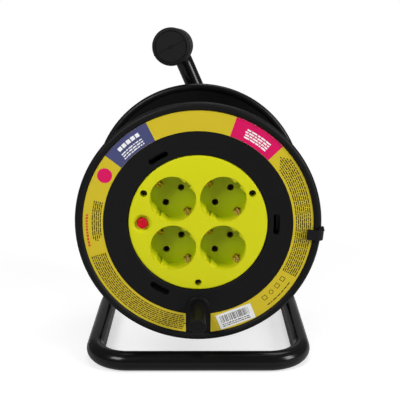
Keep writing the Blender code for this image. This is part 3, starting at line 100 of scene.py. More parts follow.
def blend(tree, factor, low, high):
    # a plain number between two others, each a value or a socket
    mix = tree.nodes.new("ShaderNodeMix")
    for name, source in (("Factor", factor), ("A", low), ("B", high)):
        if isinstance(source, (int, float)):
            mix.inputs[name].default_value = source
        else:
            tree.links.new(source, mix.inputs[name])
    return mix.outputs["Result"]


def ranged(tree, value, fromLow, fromHigh, toLow, toHigh):
    step = tree.nodes.new("ShaderNodeMapRange")
    step.interpolation_type = "SMOOTHSTEP"
    for name, number in (("From Min", fromLow), ("From Max", fromHigh),
                         ("To Min", toLow), ("To Max", toHigh)):
        step.inputs[name].default_value = number
    tree.links.new(value, step.inputs["Value"])
    return step.outputs["Result"]


def makeWorld():
    # white to the camera; reflections see a pale backdrop behind the object and a dim room elsewhere
    world = bpy.data.worlds.new("studioWorld")
    bpy.context.scene.world = world
    world.use_nodes = True
    tree = world.node_tree
    sky = tree.nodes["Background"]
    sky.inputs["Color"].default_value = (1, 1, 1, 1)
    rays = tree.nodes.new("ShaderNodeLightPath")
    where = tree.nodes.new("ShaderNodeTexCoord")
    axes = tree.nodes.new("ShaderNodeSeparateXYZ")
    tree.links.new(where.outputs["Generated"], axes.inputs[0])
    seen = ranged(tree, axes.outputs["Y"], *studio["backdropEdge"], studio["roomSky"],
                  studio["backdropShine"])
    mirrored = blend(tree, rays.outputs["Is Glossy Ray"], studio["skyStrength"], seen)
    passed = blend(tree, rays.outputs["Is Transmission Ray"], mirrored, studio["white"])
    strength = blend(tree, rays.outputs["Is Camera Ray"], passed, studio["white"])
    tree.links.new(strength, sky.inputs["Strength"])


def makeFloor():
    # pale near the object, where it holds the shadow, and plain white to the camera farther out
    bm = bmesh.new()
    bmesh.ops.create_grid(bm, x_segments=1, y_segments=1, size=studio["floorSize"])
    mesh = bpy.data.meshes.new("studioFloor")
    bm.to_mesh(mesh)
    bm.free()
    floor = bpy.data.objects.new("studioFloor", mesh)
    bpy.context.collection.objects.link(floor)
    paint = bpy.data.materials.new("floorPaint")
    paint.use_nodes = True
    mesh.materials.append(paint)
    tree = paint.node_tree
    shader = tree.nodes["Principled BSDF"]
    shader.inputs["Base Color"].default_value = (*studio["floorColour"], 1)
    shader.inputs["Roughness"].default_value = 0.9
    rays = tree.nodes.new("ShaderNodeLightPath")
    where = tree.nodes.new("ShaderNodeTexCoord")
    far = tree.nodes.new("ShaderNodeVectorMath")
    far.operation = "LENGTH"
    tree.links.new(where.outputs["Object"], far.inputs[0])
    fade = ranged(tree, far.outputs["Value"], *studio["floorFade"], 0, 1)
    lift = tree.nodes.new("ShaderNodeEmission")
    glow = blend(tree, rays.outputs["Is Camera Ray"], 0.0, studio["floorLift"])
    tree.links.new(glow, lift.inputs["Strength"])
    both = tree.nodes.new("ShaderNodeAddShader")
    tree.links.new(shader.outputs[0], both.inputs[0])
    tree.links.new(lift.outputs[0], both.inputs[1])
    plain = tree.nodes.new("ShaderNodeEmission")
    plain.inputs["Strength"].default_value = studio["white"]
    mix = tree.nodes.new("ShaderNodeMixShader")
    tree.links.new(blend(tree, rays.outputs["Is Camera Ray"], 0.0, fade), mix.inputs[0])
    tree.links.new(both.outputs[0], mix.inputs[1])
    tree.links.new(plain.outputs[0], mix.inputs[2])
    tree.links.new(mix.outputs[0], tree.nodes["Material Output"].inputs["Surface"])


def makeLamps():
    aim = Vector((0, drumY, axleZ))
    for name, place, size, power in studio["lamps"]:
        light = bpy.data.lights.new(name, "AREA")
        light.shape = "RECTANGLE"
        light.size = size[0]
        light.size_y = size[1]
        light.energy = power
        lamp = bpy.data.objects.new(name, light)
        lamp.location = place
        lamp.rotation_euler = (aim - lamp.location).to_track_quat("-Z", "Y").to_euler()
        bpy.context.collection.objects.link(lamp)
    bpy.context.scene.view_settings.view_transform = "Standard"


makeCamera()
makeWorld()
makeFloor()
makeLamps()
print("camera and studio ready")


def noise(tree, where, scale, detail):
    made = tree.nodes.new("ShaderNodeTexNoise")
    made.inputs["Scale"].default_value = scale
    made.inputs["Detail"].default_value = detail
    tree.links.new(where.outputs["Object"], made.inputs["Vector"])
    return made.outputs["Fac"]


def finish(name, colour, other, roughness, spread=0.06, mottle=18, grain=900, bump=0.04, bumpDepth=0.0002,
           metallic=0.0, coat=0.0, coatRoughness=0.05, ior=1.46, specular=0.5):
    # two close colours in soft patches, uneven gloss and a fine grain, all on the piece's own coordinates
    made = bpy.data.materials.new(name)
    made.use_nodes = True
    tree = made.node_tree
    shader = tree.nodes["Principled BSDF"]
    for socket, value in (("Metallic", metallic), ("Coat Weight", coat), ("Coat Roughness", coatRoughness),
                          ("IOR", ior), ("Specular IOR Level", specular)):
        shader.inputs[socket].default_value = value
    where = tree.nodes.new("ShaderNodeTexCoord")

    tint = tree.nodes.new("ShaderNodeMix")
    tint.data_type = "RGBA"
    tint.inputs["A"].default_value = (*colour, 1)
    tint.inputs["B"].default_value = (*other, 1)
    tree.links.new(noise(tree, where, mottle, 4), tint.inputs["Factor"])
    tree.links.new(tint.outputs["Result"], shader.inputs["Base Color"])

    level = tree.nodes.new("ShaderNodeMapRange")
    level.inputs["To Min"].default_value = roughness - spread
    level.inputs["To Max"].default_value = roughness + spread
    tree.links.new(noise(tree, where, mottle * 3, 6), level.inputs["Value"])
    tree.links.new(level.outputs["Result"], shader.inputs["Roughness"])

    relief = tree.nodes.new("ShaderNodeBump")
    relief.inputs["Strength"].default_value = bump
    relief.inputs["Distance"].default_value = bumpDepth
    tree.links.new(noise(tree, where, grain, 3), relief.inputs["Height"])
    tree.links.new(relief.outputs["Normal"], shader.inputs["Normal"])
    return made


ink = {"spread": 0.05, "grain": 500, "bump": 0.02}      # what all printed films share

finishes = {
    "lacquer": finish("blackLacquer", (0.0035, 0.0035, 0.004), (0.005, 0.005, 0.0055), 0.2, 0.03,
                      mottle=12, grain=60, bump=0.012, coat=0.03, coatRoughness=0.08, ior=1.5, specular=0.24),
    "satinBlack": finish("satinBlackPlastic", (0.0042, 0.0042, 0.0046), (0.006, 0.006, 0.0064), 0.5, 0.07,
                         mottle=22, grain=1500, bump=0.16, specular=0.16),
    "smoothBlack": finish("smoothBlackPlastic", (0.0035, 0.0035, 0.004), (0.005, 0.005, 0.0055), 0.36, 0.06,
                          mottle=14, grain=700, bump=0.05, specular=0.22),
    "gripBlack": finish("gripBlackPlastic", (0.0105, 0.0105, 0.011), (0.013, 0.013, 0.0135), 0.58, 0.06,
                        mottle=40, grain=1800, bump=0.2, specular=0.1),
    "lime": finish("limePlastic", (0.60, 0.605, 0.005), (0.63, 0.625, 0.009), 0.42, 0.05,
                   mottle=10, grain=1100, bump=0.05, specular=0.18),
    "labelFilm": finish("labelFilm", (0.57, 0.44, 0.016), (0.61, 0.475, 0.024), 0.4, **ink, mottle=9,
                        specular=0.22),
    "navyInk": finish("navyInk", (0.055, 0.063, 0.165), (0.065, 0.072, 0.18), 0.4, **ink, mottle=20,
                      specular=0.25),
    "magentaInk": finish("magentaInk", (0.62, 0.004, 0.095), (0.67, 0.007, 0.115), 0.4, **ink, mottle=20,
                         specular=0.22),
    "redInk": finish("redInk", (0.55, 0.05, 0.02), (0.60, 0.07, 0.03), 0.4, **ink, mottle=40, specular=0.22),
    "blackInk": finish("blackInk", (0.014, 0.011, 0.006), (0.022, 0.017, 0.009), 0.42, **ink, mottle=60,
                       specular=0.25),
    "whiteInk": finish("whiteInk", (0.80, 0.80, 0.83), (0.86, 0.86, 0.88), 0.4, **ink, mottle=60),
    "paper": finish("stickerPaper", (0.74, 0.74, 0.75), (0.80, 0.80, 0.80), 0.6, 0.06,
                    mottle=50, grain=1600, bump=0.1),
    "red": finish("redPlastic", (0.52, 0.001, 0.012), (0.57, 0.002, 0.018), 0.36, 0.05,
                  mottle=60, grain=900, bump=0.05, specular=0.22),
    "brass": finish("copperBrass", (0.72, 0.42, 0.17), (0.80, 0.52, 0.25), 0.24, 0.08,
                    mottle=160, grain=2600, bump=0.12, metallic=1.0),
    "zinc": finish("zincSteel", (0.50, 0.51, 0.53), (0.60, 0.61, 0.62), 0.32, 0.08,
                   mottle=120, grain=2200, bump=0.12, metallic=1.0),
    # painted shade: the plate screws' steel is made dark for the shade at the bottom of their wells
    "wellShadeSteel": finish("screwSteelPaintedShade", (0.05, 0.05, 0.05), (0.08, 0.08, 0.08), 0.42, 0.08,
                        mottle=120, grain=2200, bump=0.12, metallic=1.0),
    "darkBrass": finish("darkContactBrass", (0.16, 0.10, 0.05), (0.24, 0.16, 0.08), 0.4, 0.08,
                        mottle=160, grain=2600, bump=0.12, metallic=1.0),
    "grey": finish("greyPlastic", (0.27, 0.28, 0.29), (0.32, 0.33, 0.34), 0.5, 0.06,
                   mottle=40, grain=1300, bump=0.1),
}
print("finishes ready:", len(finishes))


def polar(radius, degrees):
    angle = math.radians(degrees)
    return radius * math.cos(angle), radius * math.sin(angle)


def arc(r, y, radius, start, end, steps):
    angles = [math.radians(start + (end - start) * k / steps) for k in range(steps + 1)]
    return [(r + radius * math.cos(a), y + radius * math.sin(a)) for a in angles]


def turned(bm, profile, segments=96, x=0.0, z=0.0):
    # an outline (r, depth) turned about the axis through (x, z) that runs along Y
    verts = [bm.verts.new((x + r, y, z)) for r, y in profile]
    edges = [bm.edges.new(pair) for pair in zip(verts, verts[1:])]
    if profile[0][0] > 0 or profile[-1][0] > 0:
        edges.append(bm.edges.new((verts[-1], verts[0])))
    bmesh.ops.spin(bm, geom=verts + edges, cent=(x, 0, z), axis=(0, 1, 0), angle=math.tau,
                   steps=segments, use_merge=True)


def rod(bm, radius, front, back, x=0.0, z=0.0, segments=32):
    turned(bm, [(0, front), (radius, front), (radius, back), (0, back)], segments, x, z)


def swept(bm, points, shift):
    # a closed outline moved along a line, which gives a solid
    ring = [bm.verts.new(p) for p in points]
    made = bmesh.ops.extrude_face_region(bm, geom=[bm.faces.new(ring)])["geom"]
    moved = [v for v in made if isinstance(v, bmesh.types.BMVert)]
    bmesh.ops.translate(bm, verts=moved, vec=shift)
    return ring + moved


def prism(bm, outline, front, back):
    swept(bm, [(x, front, z) for x, z in outline], (0, back - front, 0))


def standUp(bm, depth):
    # turns what was drawn along Y to point up, at a depth behind the plate's face
    bmesh.ops.rotate(bm, verts=bm.verts, cent=(0, 0, 0), matrix=Matrix.Rotation(math.radians(90), 3, "X"))
    bmesh.ops.translate(bm, verts=bm.verts, vec=(0, depth, 0))


def block(bm, low, high):
    size = Vector(high) - Vector(low)
    matrix = Matrix.Translation((Vector(high) + Vector(low)) / 2) @ Matrix.Diagonal((*size, 1))
    bmesh.ops.create_cube(bm, size=1, matrix=matrix)


def objectFrom(name, bm, place):
    bmesh.ops.remove_doubles(bm, verts=bm.verts, dist=0.000001)
    bmesh.ops.dissolve_degenerate(bm, edges=bm.edges, dist=0.000001)
    bmesh.ops.recalc_face_normals(bm, faces=bm.faces)
    bm.transform(place)
    mesh = bpy.data.meshes.new(name)
    bm.to_mesh(mesh)
    bm.free()
    made = bpy.data.objects.new(name, mesh)
    bpy.context.collection.objects.link(made)
    return made


def cut(target, cutterMesh, operation="DIFFERENCE", place=drumPlace):
    # a Boolean that is applied straight away
    other = objectFrom(target.name + "Cutter", cutterMesh, place)
    step = target.modifiers.new("cut", "BOOLEAN")
    step.operation = operation
    step.solver = "EXACT"
    step.object = other
    bpy.context.view_layer.update()
    result = bpy.data.meshes.new_from_object(target.evaluated_get(bpy.context.evaluated_depsgraph_get()))
    target.modifiers.clear()
    target.data = result
    bpy.data.objects.remove(other)


def through(front, back):
    # a cutter's ends, a little past what it cuts
    return front - cutPast, back + cutPast


def drill(target, places, radius, front, back, segments=32, operation="DIFFERENCE"):
    rods = bmesh.new()
    for x, z in places:
        rod(rods, radius, front, back, x, z, segments)
    cut(target, rods, operation)


def dress(made, body, look, replaces=(), bevel=0.0, bevelSteps=2, smooth=35, bevelAngle=30):
    mesh = made.data
    mesh.materials.clear()
    mesh.materials.append(finishes[look])
    mesh.shade_smooth()
    mesh.set_sharp_from_angle(angle=math.radians(smooth))
    if bevel:
        step = made.modifiers.new("edges", "BEVEL")
        step.width = bevel
        step.segments = bevelSteps
        step.limit_method = "ANGLE"
        step.angle_limit = math.radians(bevelAngle)
        step.harden_normals = True
    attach(made, body)
    if replaces:
        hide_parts(*replaces)
    return made


def piece(name, bm, body, look, replaces=(), bevel=0.0, bevelSteps=2, smooth=35, place=drumPlace):
    return dress(objectFrom(name, bm, place), body, look, replaces, bevel, bevelSteps, smooth)


def depths(node):
    # how far a node of the drum starts and ends behind the plate's face
    low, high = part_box(node)
    return low.y - drumY, high.y - drumY


def refined(node, name, body, look, bevel, bevelSteps=2):
    # the CAD node's own shape, merged, with its flat faces whole and its edges rounded
    bm = bmesh.new()
    bm.from_mesh(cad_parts[node].data)
    bmesh.ops.remove_doubles(bm, verts=bm.verts, dist=0.000002)
    bmesh.ops.dissolve_limit(bm, angle_limit=math.radians(1), verts=bm.verts, edges=bm.edges)
    return piece(name, bm, body, look, (node,), bevel, bevelSteps, place=worldPlace)


# the stand's tube, and the grip on its handle
tube = {
    "radius": 0.00875,
    "floorBend": 0.032,
    "handleBend": 0.022,
    "handleCorner": (-0.0211, 0.2776),
    "handleRise": 3.1,          # degrees above level
    "endGap": 0.004,
    "sides": 40,
    "bendStep": 5,
    "wall": 0.0018,
    "plugDepth": 0.012,
    "capRise": 0.002,
    "capEdge": 0.0009,
}

grip = {
    "radius": 0.01665,
    "length": 0.096,
    "frontWall": 0.004,
    "edge": 0.0030,
    "backEdge": 0.0008,
    "grooveRadius": 0.0133,
    "grooveWidth": 0.0006,
    "grooveDepth": 0.0005,
    "nubRadius": 0.0016,
    "nubHeight": 0.0006,
    "dimpleRadius": 0.0007,
    "seamAngle": 27,
    "seamWidth": 0.0006,
    "seamHeight": 0.0004,
}

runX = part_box("stand_tube")[1].x - tube["radius"]
bracketLow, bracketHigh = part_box("axle_bracket")
uprightY = bracketHigh.y + seat + tube["radius"] / math.cos(math.pi / 12)


def uprightWays():
    # directions of the long and the short upright, both in the XZ plane
    cornerX, cornerZ = tube["handleCorner"]
    longWay = Vector((cornerX - runX, 0, cornerZ - tube["radius"])).normalized()
    shortWay = Vector((runX, 0, axleZ - tube["radius"])).normalized()
    return longWay, shortWay


def shortTop():
    longWay, shortWay = uprightWays()
    angle = shortWay.angle(longWay)
    corner = tube["radius"] / math.cos(math.pi / 12)
    run = 2 * runX * abs(longWay.z) / math.sin(angle)
    length = run - corner / math.sin(angle) - corner / math.tan(angle) - tube["endGap"]
    return Vector((-runX, uprightY, tube["radius"])) + shortWay * length


def bendReach():
    # from the handle's corner to where its bend ends
    return tube["handleBend"] * math.tan((math.pi / 2 - math.radians(tube["handleRise"])) / 2)


def handleWay():
    longWay = uprightWays()[0]
    rise = math.radians(tube["handleRise"])
    return Vector((0, -1, 0)) * math.cos(rise) + longWay * math.sin(rise)


def roundedPath(corners, radii):
    points = [corners[0]]
    for before, corner, after, radius in zip(corners, corners[1:], corners[2:], radii):
        arriving = (corner - before).normalized()
        leaving = (after - corner).normalized()
        angle = arriving.angle(leaving)
        axis = arriving.cross(leaving).normalized()
        start = corner - arriving * radius * math.tan(angle / 2)
        centre = start + axis.cross(arriving) * radius
        count = math.ceil(math.degrees(angle) / tube["bendStep"])
        for k in range(count + 1):
            points.append(centre + Matrix.Rotation(angle * k / count, 3, axis) @ (start - centre))
    return points + [corners[-1]]


def makeTube():
    cornerX, cornerZ = tube["handleCorner"]
    handleCorner = Vector((cornerX, uprightY, cornerZ))
    inGrip = bendReach() + grip["length"] - grip["frontWall"] - seat
    corners = [
        handleCorner + handleWay() * inGrip, handleCorner,
        Vector((runX, uprightY, tube["radius"])), Vector((runX, 0, tube["radius"])),
        Vector((-runX, 0, tube["radius"])), Vector((-runX, uprightY, tube["radius"])), shortTop(),
    ]
    points = roundedPath(corners, [tube["handleBend"]] + [tube["floorBend"]] * 4)
    line = bpy.data.curves.new("standLine", "CURVE")
    line.dimensions = "3D"
    line.bevel_depth = tube["radius"]
    line.bevel_resolution = tube["sides"] // 4 - 1
    line.use_fill_caps = True
    run = line.splines.new("POLY")
    run.points.add(len(points) - 1)
    for target, point in zip(run.points, points):
        target.co = (*point, 1)
    guide = bpy.data.objects.new("standLine", line)
    bpy.context.collection.objects.link(guide)
    bpy.context.view_layer.update()
    mesh = bpy.data.meshes.new_from_object(guide.evaluated_get(bpy.context.evaluated_depsgraph_get()))
    bpy.data.objects.remove(guide)
    bm = bmesh.new()
    bm.from_mesh(mesh)
    piece("standTube", bm, "stand", "lacquer", ("stand_tube",), smooth=40, place=worldPlace)

    plug = bmesh.new()
    outer, rise, edge = tube["radius"], tube["capRise"], tube["capEdge"]
    inner = outer - tube["wall"]
    turned(plug, [(0, -tube["plugDepth"]), (inner, -tube["plugDepth"]), (inner, seat), (outer, seat),
                  (outer, rise - edge), (outer - edge, rise), (0, rise)], 40)
    shortWay = uprightWays()[1]
    place = Matrix.Translation(shortTop()) @ shortWay.to_track_quat("Y", "Z").to_matrix().to_4x4()
    piece("tubeEndPlug", plug, "stand", "gripBlack", ("tube_end_plug",), 0.0003, place=place)


def makeGrip():
    radius, length, edge, backEdge = grip["radius"], grip["length"], grip["edge"], grip["backEdge"]
    bore = tube["radius"] + 2 * seat
    face = grip["nubHeight"]       # the flat front lies behind the nub's tip
    nub, dimple, rim = grip["nubRadius"], grip["dimpleRadius"], grip["grooveRadius"]
    grooveEnd, grooveFloor = rim + grip["grooveWidth"], face + grip["grooveDepth"]
    profile = [(0, face), (dimple, face), (dimple + 0.0002, 0), (nub - 0.0003, 0), (nub, face), (rim, face),
               (rim + 0.0001, grooveFloor), (grooveEnd, grooveFloor), (grooveEnd + 0.0001, 0.0001)]
    profile += arc(radius - edge, edge, edge, -84, 0, 8)
    profile += arc(radius - backEdge, length - backEdge, backEdge, 0, 90, 4)
    profile += [(bore, length), (bore, grip["frontWall"]), (0, grip["frontWall"])]
    bm = bmesh.new()
    turned(bm, profile, 72)
    # the moulds' parting line, a fine fin across the front and down both sides
    fin = grip["seamHeight"]
    half = grip["seamWidth"] / 2
    outline = [(radius + fin, length / 2), (radius + fin, edge)]
    outline += [(r + fin * 0.7, y - fin * 0.7) for r, y in arc(radius - edge, edge, edge, 0, -80, 5)]
    outline += [(rim, face - fin), (nub, face - fin)]
    for side in (1, -1):
        made = swept(bm, [(side * r, y, -half) for r, y in outline + [(nub, length / 2)]], (0, 0, 2 * half))
        turn = Matrix.Rotation(math.radians(-grip["seamAngle"]), 3, "Y")
        bmesh.ops.rotate(bm, verts=made, cent=(0, 0, 0), matrix=turn)
    cornerX, cornerZ = tube["handleCorner"]
    start = Vector((cornerX, uprightY, cornerZ)) + handleWay() * (bendReach() + seat + length)
    place = Matrix.Translation(start) @ (-handleWay()).to_track_quat("Y", "Z").to_matrix().to_4x4()
    piece("handleGrip", bm, "stand", "gripBlack", ("handle_grip",), 0.00012, place=place)


makeTube()
makeGrip()
print("stand tube and grip made")


# rivets, axle, washers and nut
fasteners = {
    "rivetHead": 0.0046,
    "rivetRise": 0.0018,
    "rivetShank": 0.0025,
    "axleRadius": 0.006,
    "axleChamfer": 0.001,
    "collarRadius": 0.010,
    "collarThickness": 0.0015,
    "washerBore": 0.0043,
    "thrustBore": 0.0061,
    "threadStart": 0.012,         # behind the bracket
    "threadRadius": 0.004,
    "threadPitch": 0.00125,
    "threadDepth": 0.0006,
    "nutChamfer": 0.0009,
}


def makeRivets():
    for number in (1, 2, 3):
        low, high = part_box(f"bracket_rivet_{number}")
        x, z = (low.x + high.x) / 2, (low.z + high.z) / 2
        head, rise, shank = fasteners["rivetHead"], fasteners["rivetRise"], fasteners["rivetShank"]
        front, back = low.y + rise, high.y - rise
        ball = (head * head + rise * rise) / (2 * rise)
        reach = math.degrees(math.asin(head / ball))
        profile = arc(0, front - rise + ball, ball, -90, -90 + reach, 6) + [(shank, front), (shank, back)]
        profile += arc(0, back + rise - ball, ball, 90 - reach, 90, 6)
        profile[0] = (0, low.y)
        profile[-1] = (0, high.y)
        bm = bmesh.new()
        turned(bm, profile, 32, x, z)
        piece(f"bracketRivet{number}", bm, "stand", "zinc", (f"bracket_rivet_{number}",),
              place=worldPlace)


def makeAxle():
    low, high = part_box("axle")
    radius, chamfer, collar = fasteners["axleRadius"], fasteners["axleChamfer"], fasteners["collarRadius"]
    thread, pitch, depth = fasteners["threadRadius"], fasteners["threadPitch"], fasteners["threadDepth"]
    collarBack = bracketLow.y - seat
    collarFront = collarBack - fasteners["collarThickness"]
    profile = [(0, low.y), (radius - chamfer, low.y), (radius, low.y + chamfer), (radius, collarFront),
               (collar, collarFront), (collar, collarBack), (thread, collarBack)]
    start = bracketHigh.y + fasteners["threadStart"]
    profile.append((thread, start))
    turns = int((high.y - 0.001 - start) / pitch)
    for k in range(turns):
        y = start + k * pitch
        profile += [(thread - depth, y + pitch * 0.5), (thread, y + pitch * 0.9), (thread, y + pitch)]
    profile += [(thread - depth, high.y), (0, high.y)]
    bm = bmesh.new()
    turned(bm, profile, 48, 0, 0)
    piece("axle", bm, "stand", "zinc", ("axle",), place=axlePlace)
    for node, name, bore in (("axle_rear_washer", "axleRearWasher", "washerBore"),
                             ("thrust_washer", "thrustWasher", "thrustBore")):
        low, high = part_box(node)
        outer, inner = (high.x - low.x) / 2, fasteners[bore]
        ring = bmesh.new()
        turned(ring, [(inner, low.y), (outer, low.y), (outer, high.y), (inner, high.y)], 48)
        piece(name, ring, "stand", "zinc", (node,), 0.0002, place=axlePlace)

    low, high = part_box("axle_nut")
    flats = high.z - low.z
    nut = bmesh.new()
    reach, chamfer = flats / 2 / math.cos(math.radians(30)), fasteners["nutChamfer"]
    prism(nut, [polar(reach, 60 * k) for k in range(6)], low.y, high.y)
    made = objectFrom("axleNut", nut, axlePlace)
    shape = bmesh.new()      # the turned corners of a real nut
    past = reach + 0.0002
    turned(shape, [(0, low.y), (flats / 2, low.y), (past, low.y + chamfer), (past, high.y - chamfer),
                   (flats / 2, high.y), (0, high.y)], 48)
    cut(made, shape, "INTERSECT", axlePlace)
    hole = bmesh.new()
    rod(hole, fasteners["washerBore"], *through(low.y, high.y))
    cut(made, hole, "DIFFERENCE", axlePlace)
    dress(made, "stand", "zinc", ("axle_nut",), 0.00015)


refined("axle_bracket", "axleBracket", "stand", "lacquer", 0.0006, 3)
refined("axle_circlip", "axleCirclip", "stand", "zinc", 0.0001)
makeRivets()
makeAxle()
print("bracket and axle made")


# the drum's two flanges and the core between them
flange = {
    "radius": 0.1063,
    "bead": 0.0036,
    "beadProud": 0.002,
    "spacing": 0.1406,
    "web": 0.0026,
    "labelProud": 0.00465,
    "labelInner": 0.082,
    "labelOuter": 0.0993,
    "labelThickness": 0.0003,
    "labelGap": 0.022,
    "plateOpening": 0.0611,
    "openingLip": 0.0004,
    "ledgeInner": 0.0591,
    "ledgeFace": 0.0030,
    "zoneFront": -0.0005,
    "hubRadius": 0.0125,
    "hubBore": 0.0085,
    "slotRadius": 0.068,
    "slotWidth": 0.0053,
    "slotLength": 0.0185,
    "slotAngles": (0, 120, 240),
    "cutReach": 0.014,
    "segments": 144,
}

coreFront, coreBack = depths("winding_core")
core = {
    "radius": (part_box("winding_core")[1].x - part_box("winding_core")[0].x) / 2,
    "wall": 0.0025,
    "collar": 0.0024,
    "lap": 0.004,
    "endInner": 0.044,
    "endThickness": 0.003,
    "inletDepth": 0.052,
    "inletBore": 0.0045,
    "inletWall": 0.002,
    "inletCollar": 0.002,
    "inletRim": 0.0016,
    "inletMouth": 0.0006,
}

knob = {
    "circle": 0.0766,
    "radius": 0.0069,
    "neck": 0.0061,
    "edge": 0.0014,
    "boss": 0.0105,
    "bossEdge": 0.0006,
    "bossBore": 0.0033,
    "pinBore": 0.0032,
    "pinHead": 0.0061,
    "dimple": 0.0008,
}

labelFace = -flange["labelProud"]
frontWeb = labelFace + flange["labelThickness"] + seat
frontBead = labelFace - flange["beadProud"] + flange["bead"]
rearBead = frontBead + flange["spacing"]
rearWeb = rearBead - flange["bead"] + flange["beadProud"]
collarInner = core["radius"] + seat
collarOuter = collarInner + core["collar"]


def slotOutline(middle):
    half, radius = flange["slotWidth"] / 2, flange["slotRadius"]
    spread = math.degrees((flange["slotLength"] - flange["slotWidth"]) / 2 / radius)
    points = []
    for side, turn in ((1, 0), (-1, 180)):
        points += [polar(radius + side * half, middle + side * spread * (k / 4 - 1)) for k in range(9)]
        x, z = polar(radius, middle + side * spread)
        for k in range(1, 8):
            acrossX, acrossZ = polar(half, middle + turn + 22.5 * k)
            points.append((x + acrossX, z + acrossZ))
    return points


def beadArc(depth, offsetFront, offsetBack):
    start = 180 + math.degrees(math.asin(offsetFront / flange["bead"]))
    end = 540 - math.degrees(math.asin(offsetBack / flange["bead"]))
    return arc(flange["radius"] - flange["bead"], depth, flange["bead"], start, end, 28)


def makeFrontFlange():
    web = flange["web"]
    webBack = frontWeb + web
    labelSeat = flange["labelInner"] - seat
    zone, opening = flange["zoneFront"], flange["plateOpening"]
    ledgeInner, ledgeFace = flange["ledgeInner"], flange["ledgeFace"]
    lip = flange["openingLip"]
    profile = [(opening, ledgeFace), (opening, zone + lip), (opening + lip, zone),
               (labelSeat - 0.0006, labelFace + 0.00012),
               (labelSeat - 0.0002, labelFace), (labelSeat, labelFace + 0.0001), (labelSeat, frontWeb)]
    profile += beadArc(frontBead, frontBead - frontWeb, webBack - frontBead)
    coreInner = core["radius"] - core["wall"]
    ledgeOuter = opening + core["collar"]
    ledgeBack = coreFront - seat
    profile += [(labelSeat, webBack), (collarOuter, zone + web), (collarOuter, coreFront + core["lap"]),
                (collarInner, coreFront + core["lap"]), (collarInner, ledgeBack), (coreInner, ledgeBack),
                (coreInner, zone + web), (ledgeOuter, zone + web), (ledgeOuter, ledgeBack),
                (ledgeInner, ledgeBack), (ledgeInner, ledgeFace)]
    bm = bmesh.new()
    turned(bm, profile, flange["segments"])
    made = objectFrom("frontFlange", bm, drumPlace)
    x, z = polar(knob["circle"], 270)
    boss = bmesh.new()
    radius, edge = knob["boss"], knob["bossEdge"]
    bossProfile = [(0, labelFace), (radius - edge, labelFace), (radius, labelFace + edge), (radius, web),
                   (0, web)]
    turned(boss, bossProfile, 64, x, z)
    cut(made, boss, "UNION")
    holes = bmesh.new()
    far = flange["cutReach"]
    for angle in flange["slotAngles"]:
        prism(holes, slotOutline(angle), -far, far)
    rod(holes, knob["bossBore"], -far, far, x, z)
    cut(made, holes)
    drill(made, [(x, z)], knob["pinHead"], web - 0.0002, far, 48)      # room for the head of the knob's pin
    dress(made, "drum", "satinBlack", ("front_flange",), 0.0003, 2, 30, 40)


def makeRearFlange():
    hubFront, hubBack = depths("rear_flange")
    webBack = rearWeb + flange["web"]
    collarFront = rearWeb - seat - core["lap"]
    hub, bore = flange["hubRadius"], flange["hubBore"]
    profile = [(bore, hubFront), (hub, hubFront), (hub, rearWeb), (collarInner, rearWeb),
               (collarInner, collarFront), (collarOuter, collarFront), (collarOuter, rearWeb)]
    profile += beadArc(rearBead, rearBead - rearWeb, webBack - rearBead)
    profile += [(hub, webBack), (hub, hubBack), (bore, hubBack)]
    bm = bmesh.new()
    turned(bm, profile, flange["segments"])
    piece("rearFlange", bm, "drum", "smoothBlack", ("rear_flange",), 0.0003, 2, 30)


def makeCore():
    radius, inner, end = core["radius"], core["radius"] - core["wall"], core["endInner"]
    endFront = coreBack - core["endThickness"]
    bm = bmesh.new()
    turned(bm, [(inner, coreFront), (radius, coreFront), (radius, coreBack), (end, coreBack), (end, endFront),
                (inner, endFront)], 128)
    made = objectFrom("windingCore", bm, drumPlace)
    hole = bmesh.new()
    rod(hole, core["inletBore"] + core["inletWall"] + seat, radius / 2, radius * 2)
    standUp(hole, core["inletDepth"])
    cut(made, hole)
    dress(made, "drum", "smoothBlack", ("winding_core",), 0.0003)

    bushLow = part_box("cable_inlet_bush")[0]
    bore, rim = core["inletBore"], core["inletRim"]
    sleeve = bore + core["inletWall"]
    collar = sleeve + core["inletCollar"]
    bush = bmesh.new()
    outside = radius + seat
    inside = bushLow.z - axleZ + rim
    mouth = core["inletMouth"]
    turned(bush, [(bore, inside - rim), (collar, inside - rim), (collar, inside), (sleeve, inside),
                  (sleeve, outside), (collar, outside), (collar, outside + rim / 2),
                  (collar - rim / 2, outside + rim), (bore + mouth, outside + rim),
                  (bore, outside + rim - mouth)], 40)
    standUp(bush, core["inletDepth"])
    piece("cableInletBush", bush, "drum", "grey", ("cable_inlet_bush",), 0.0002)


makeFrontFlange()
makeRearFlange()
makeCore()
print("flanges and core made")


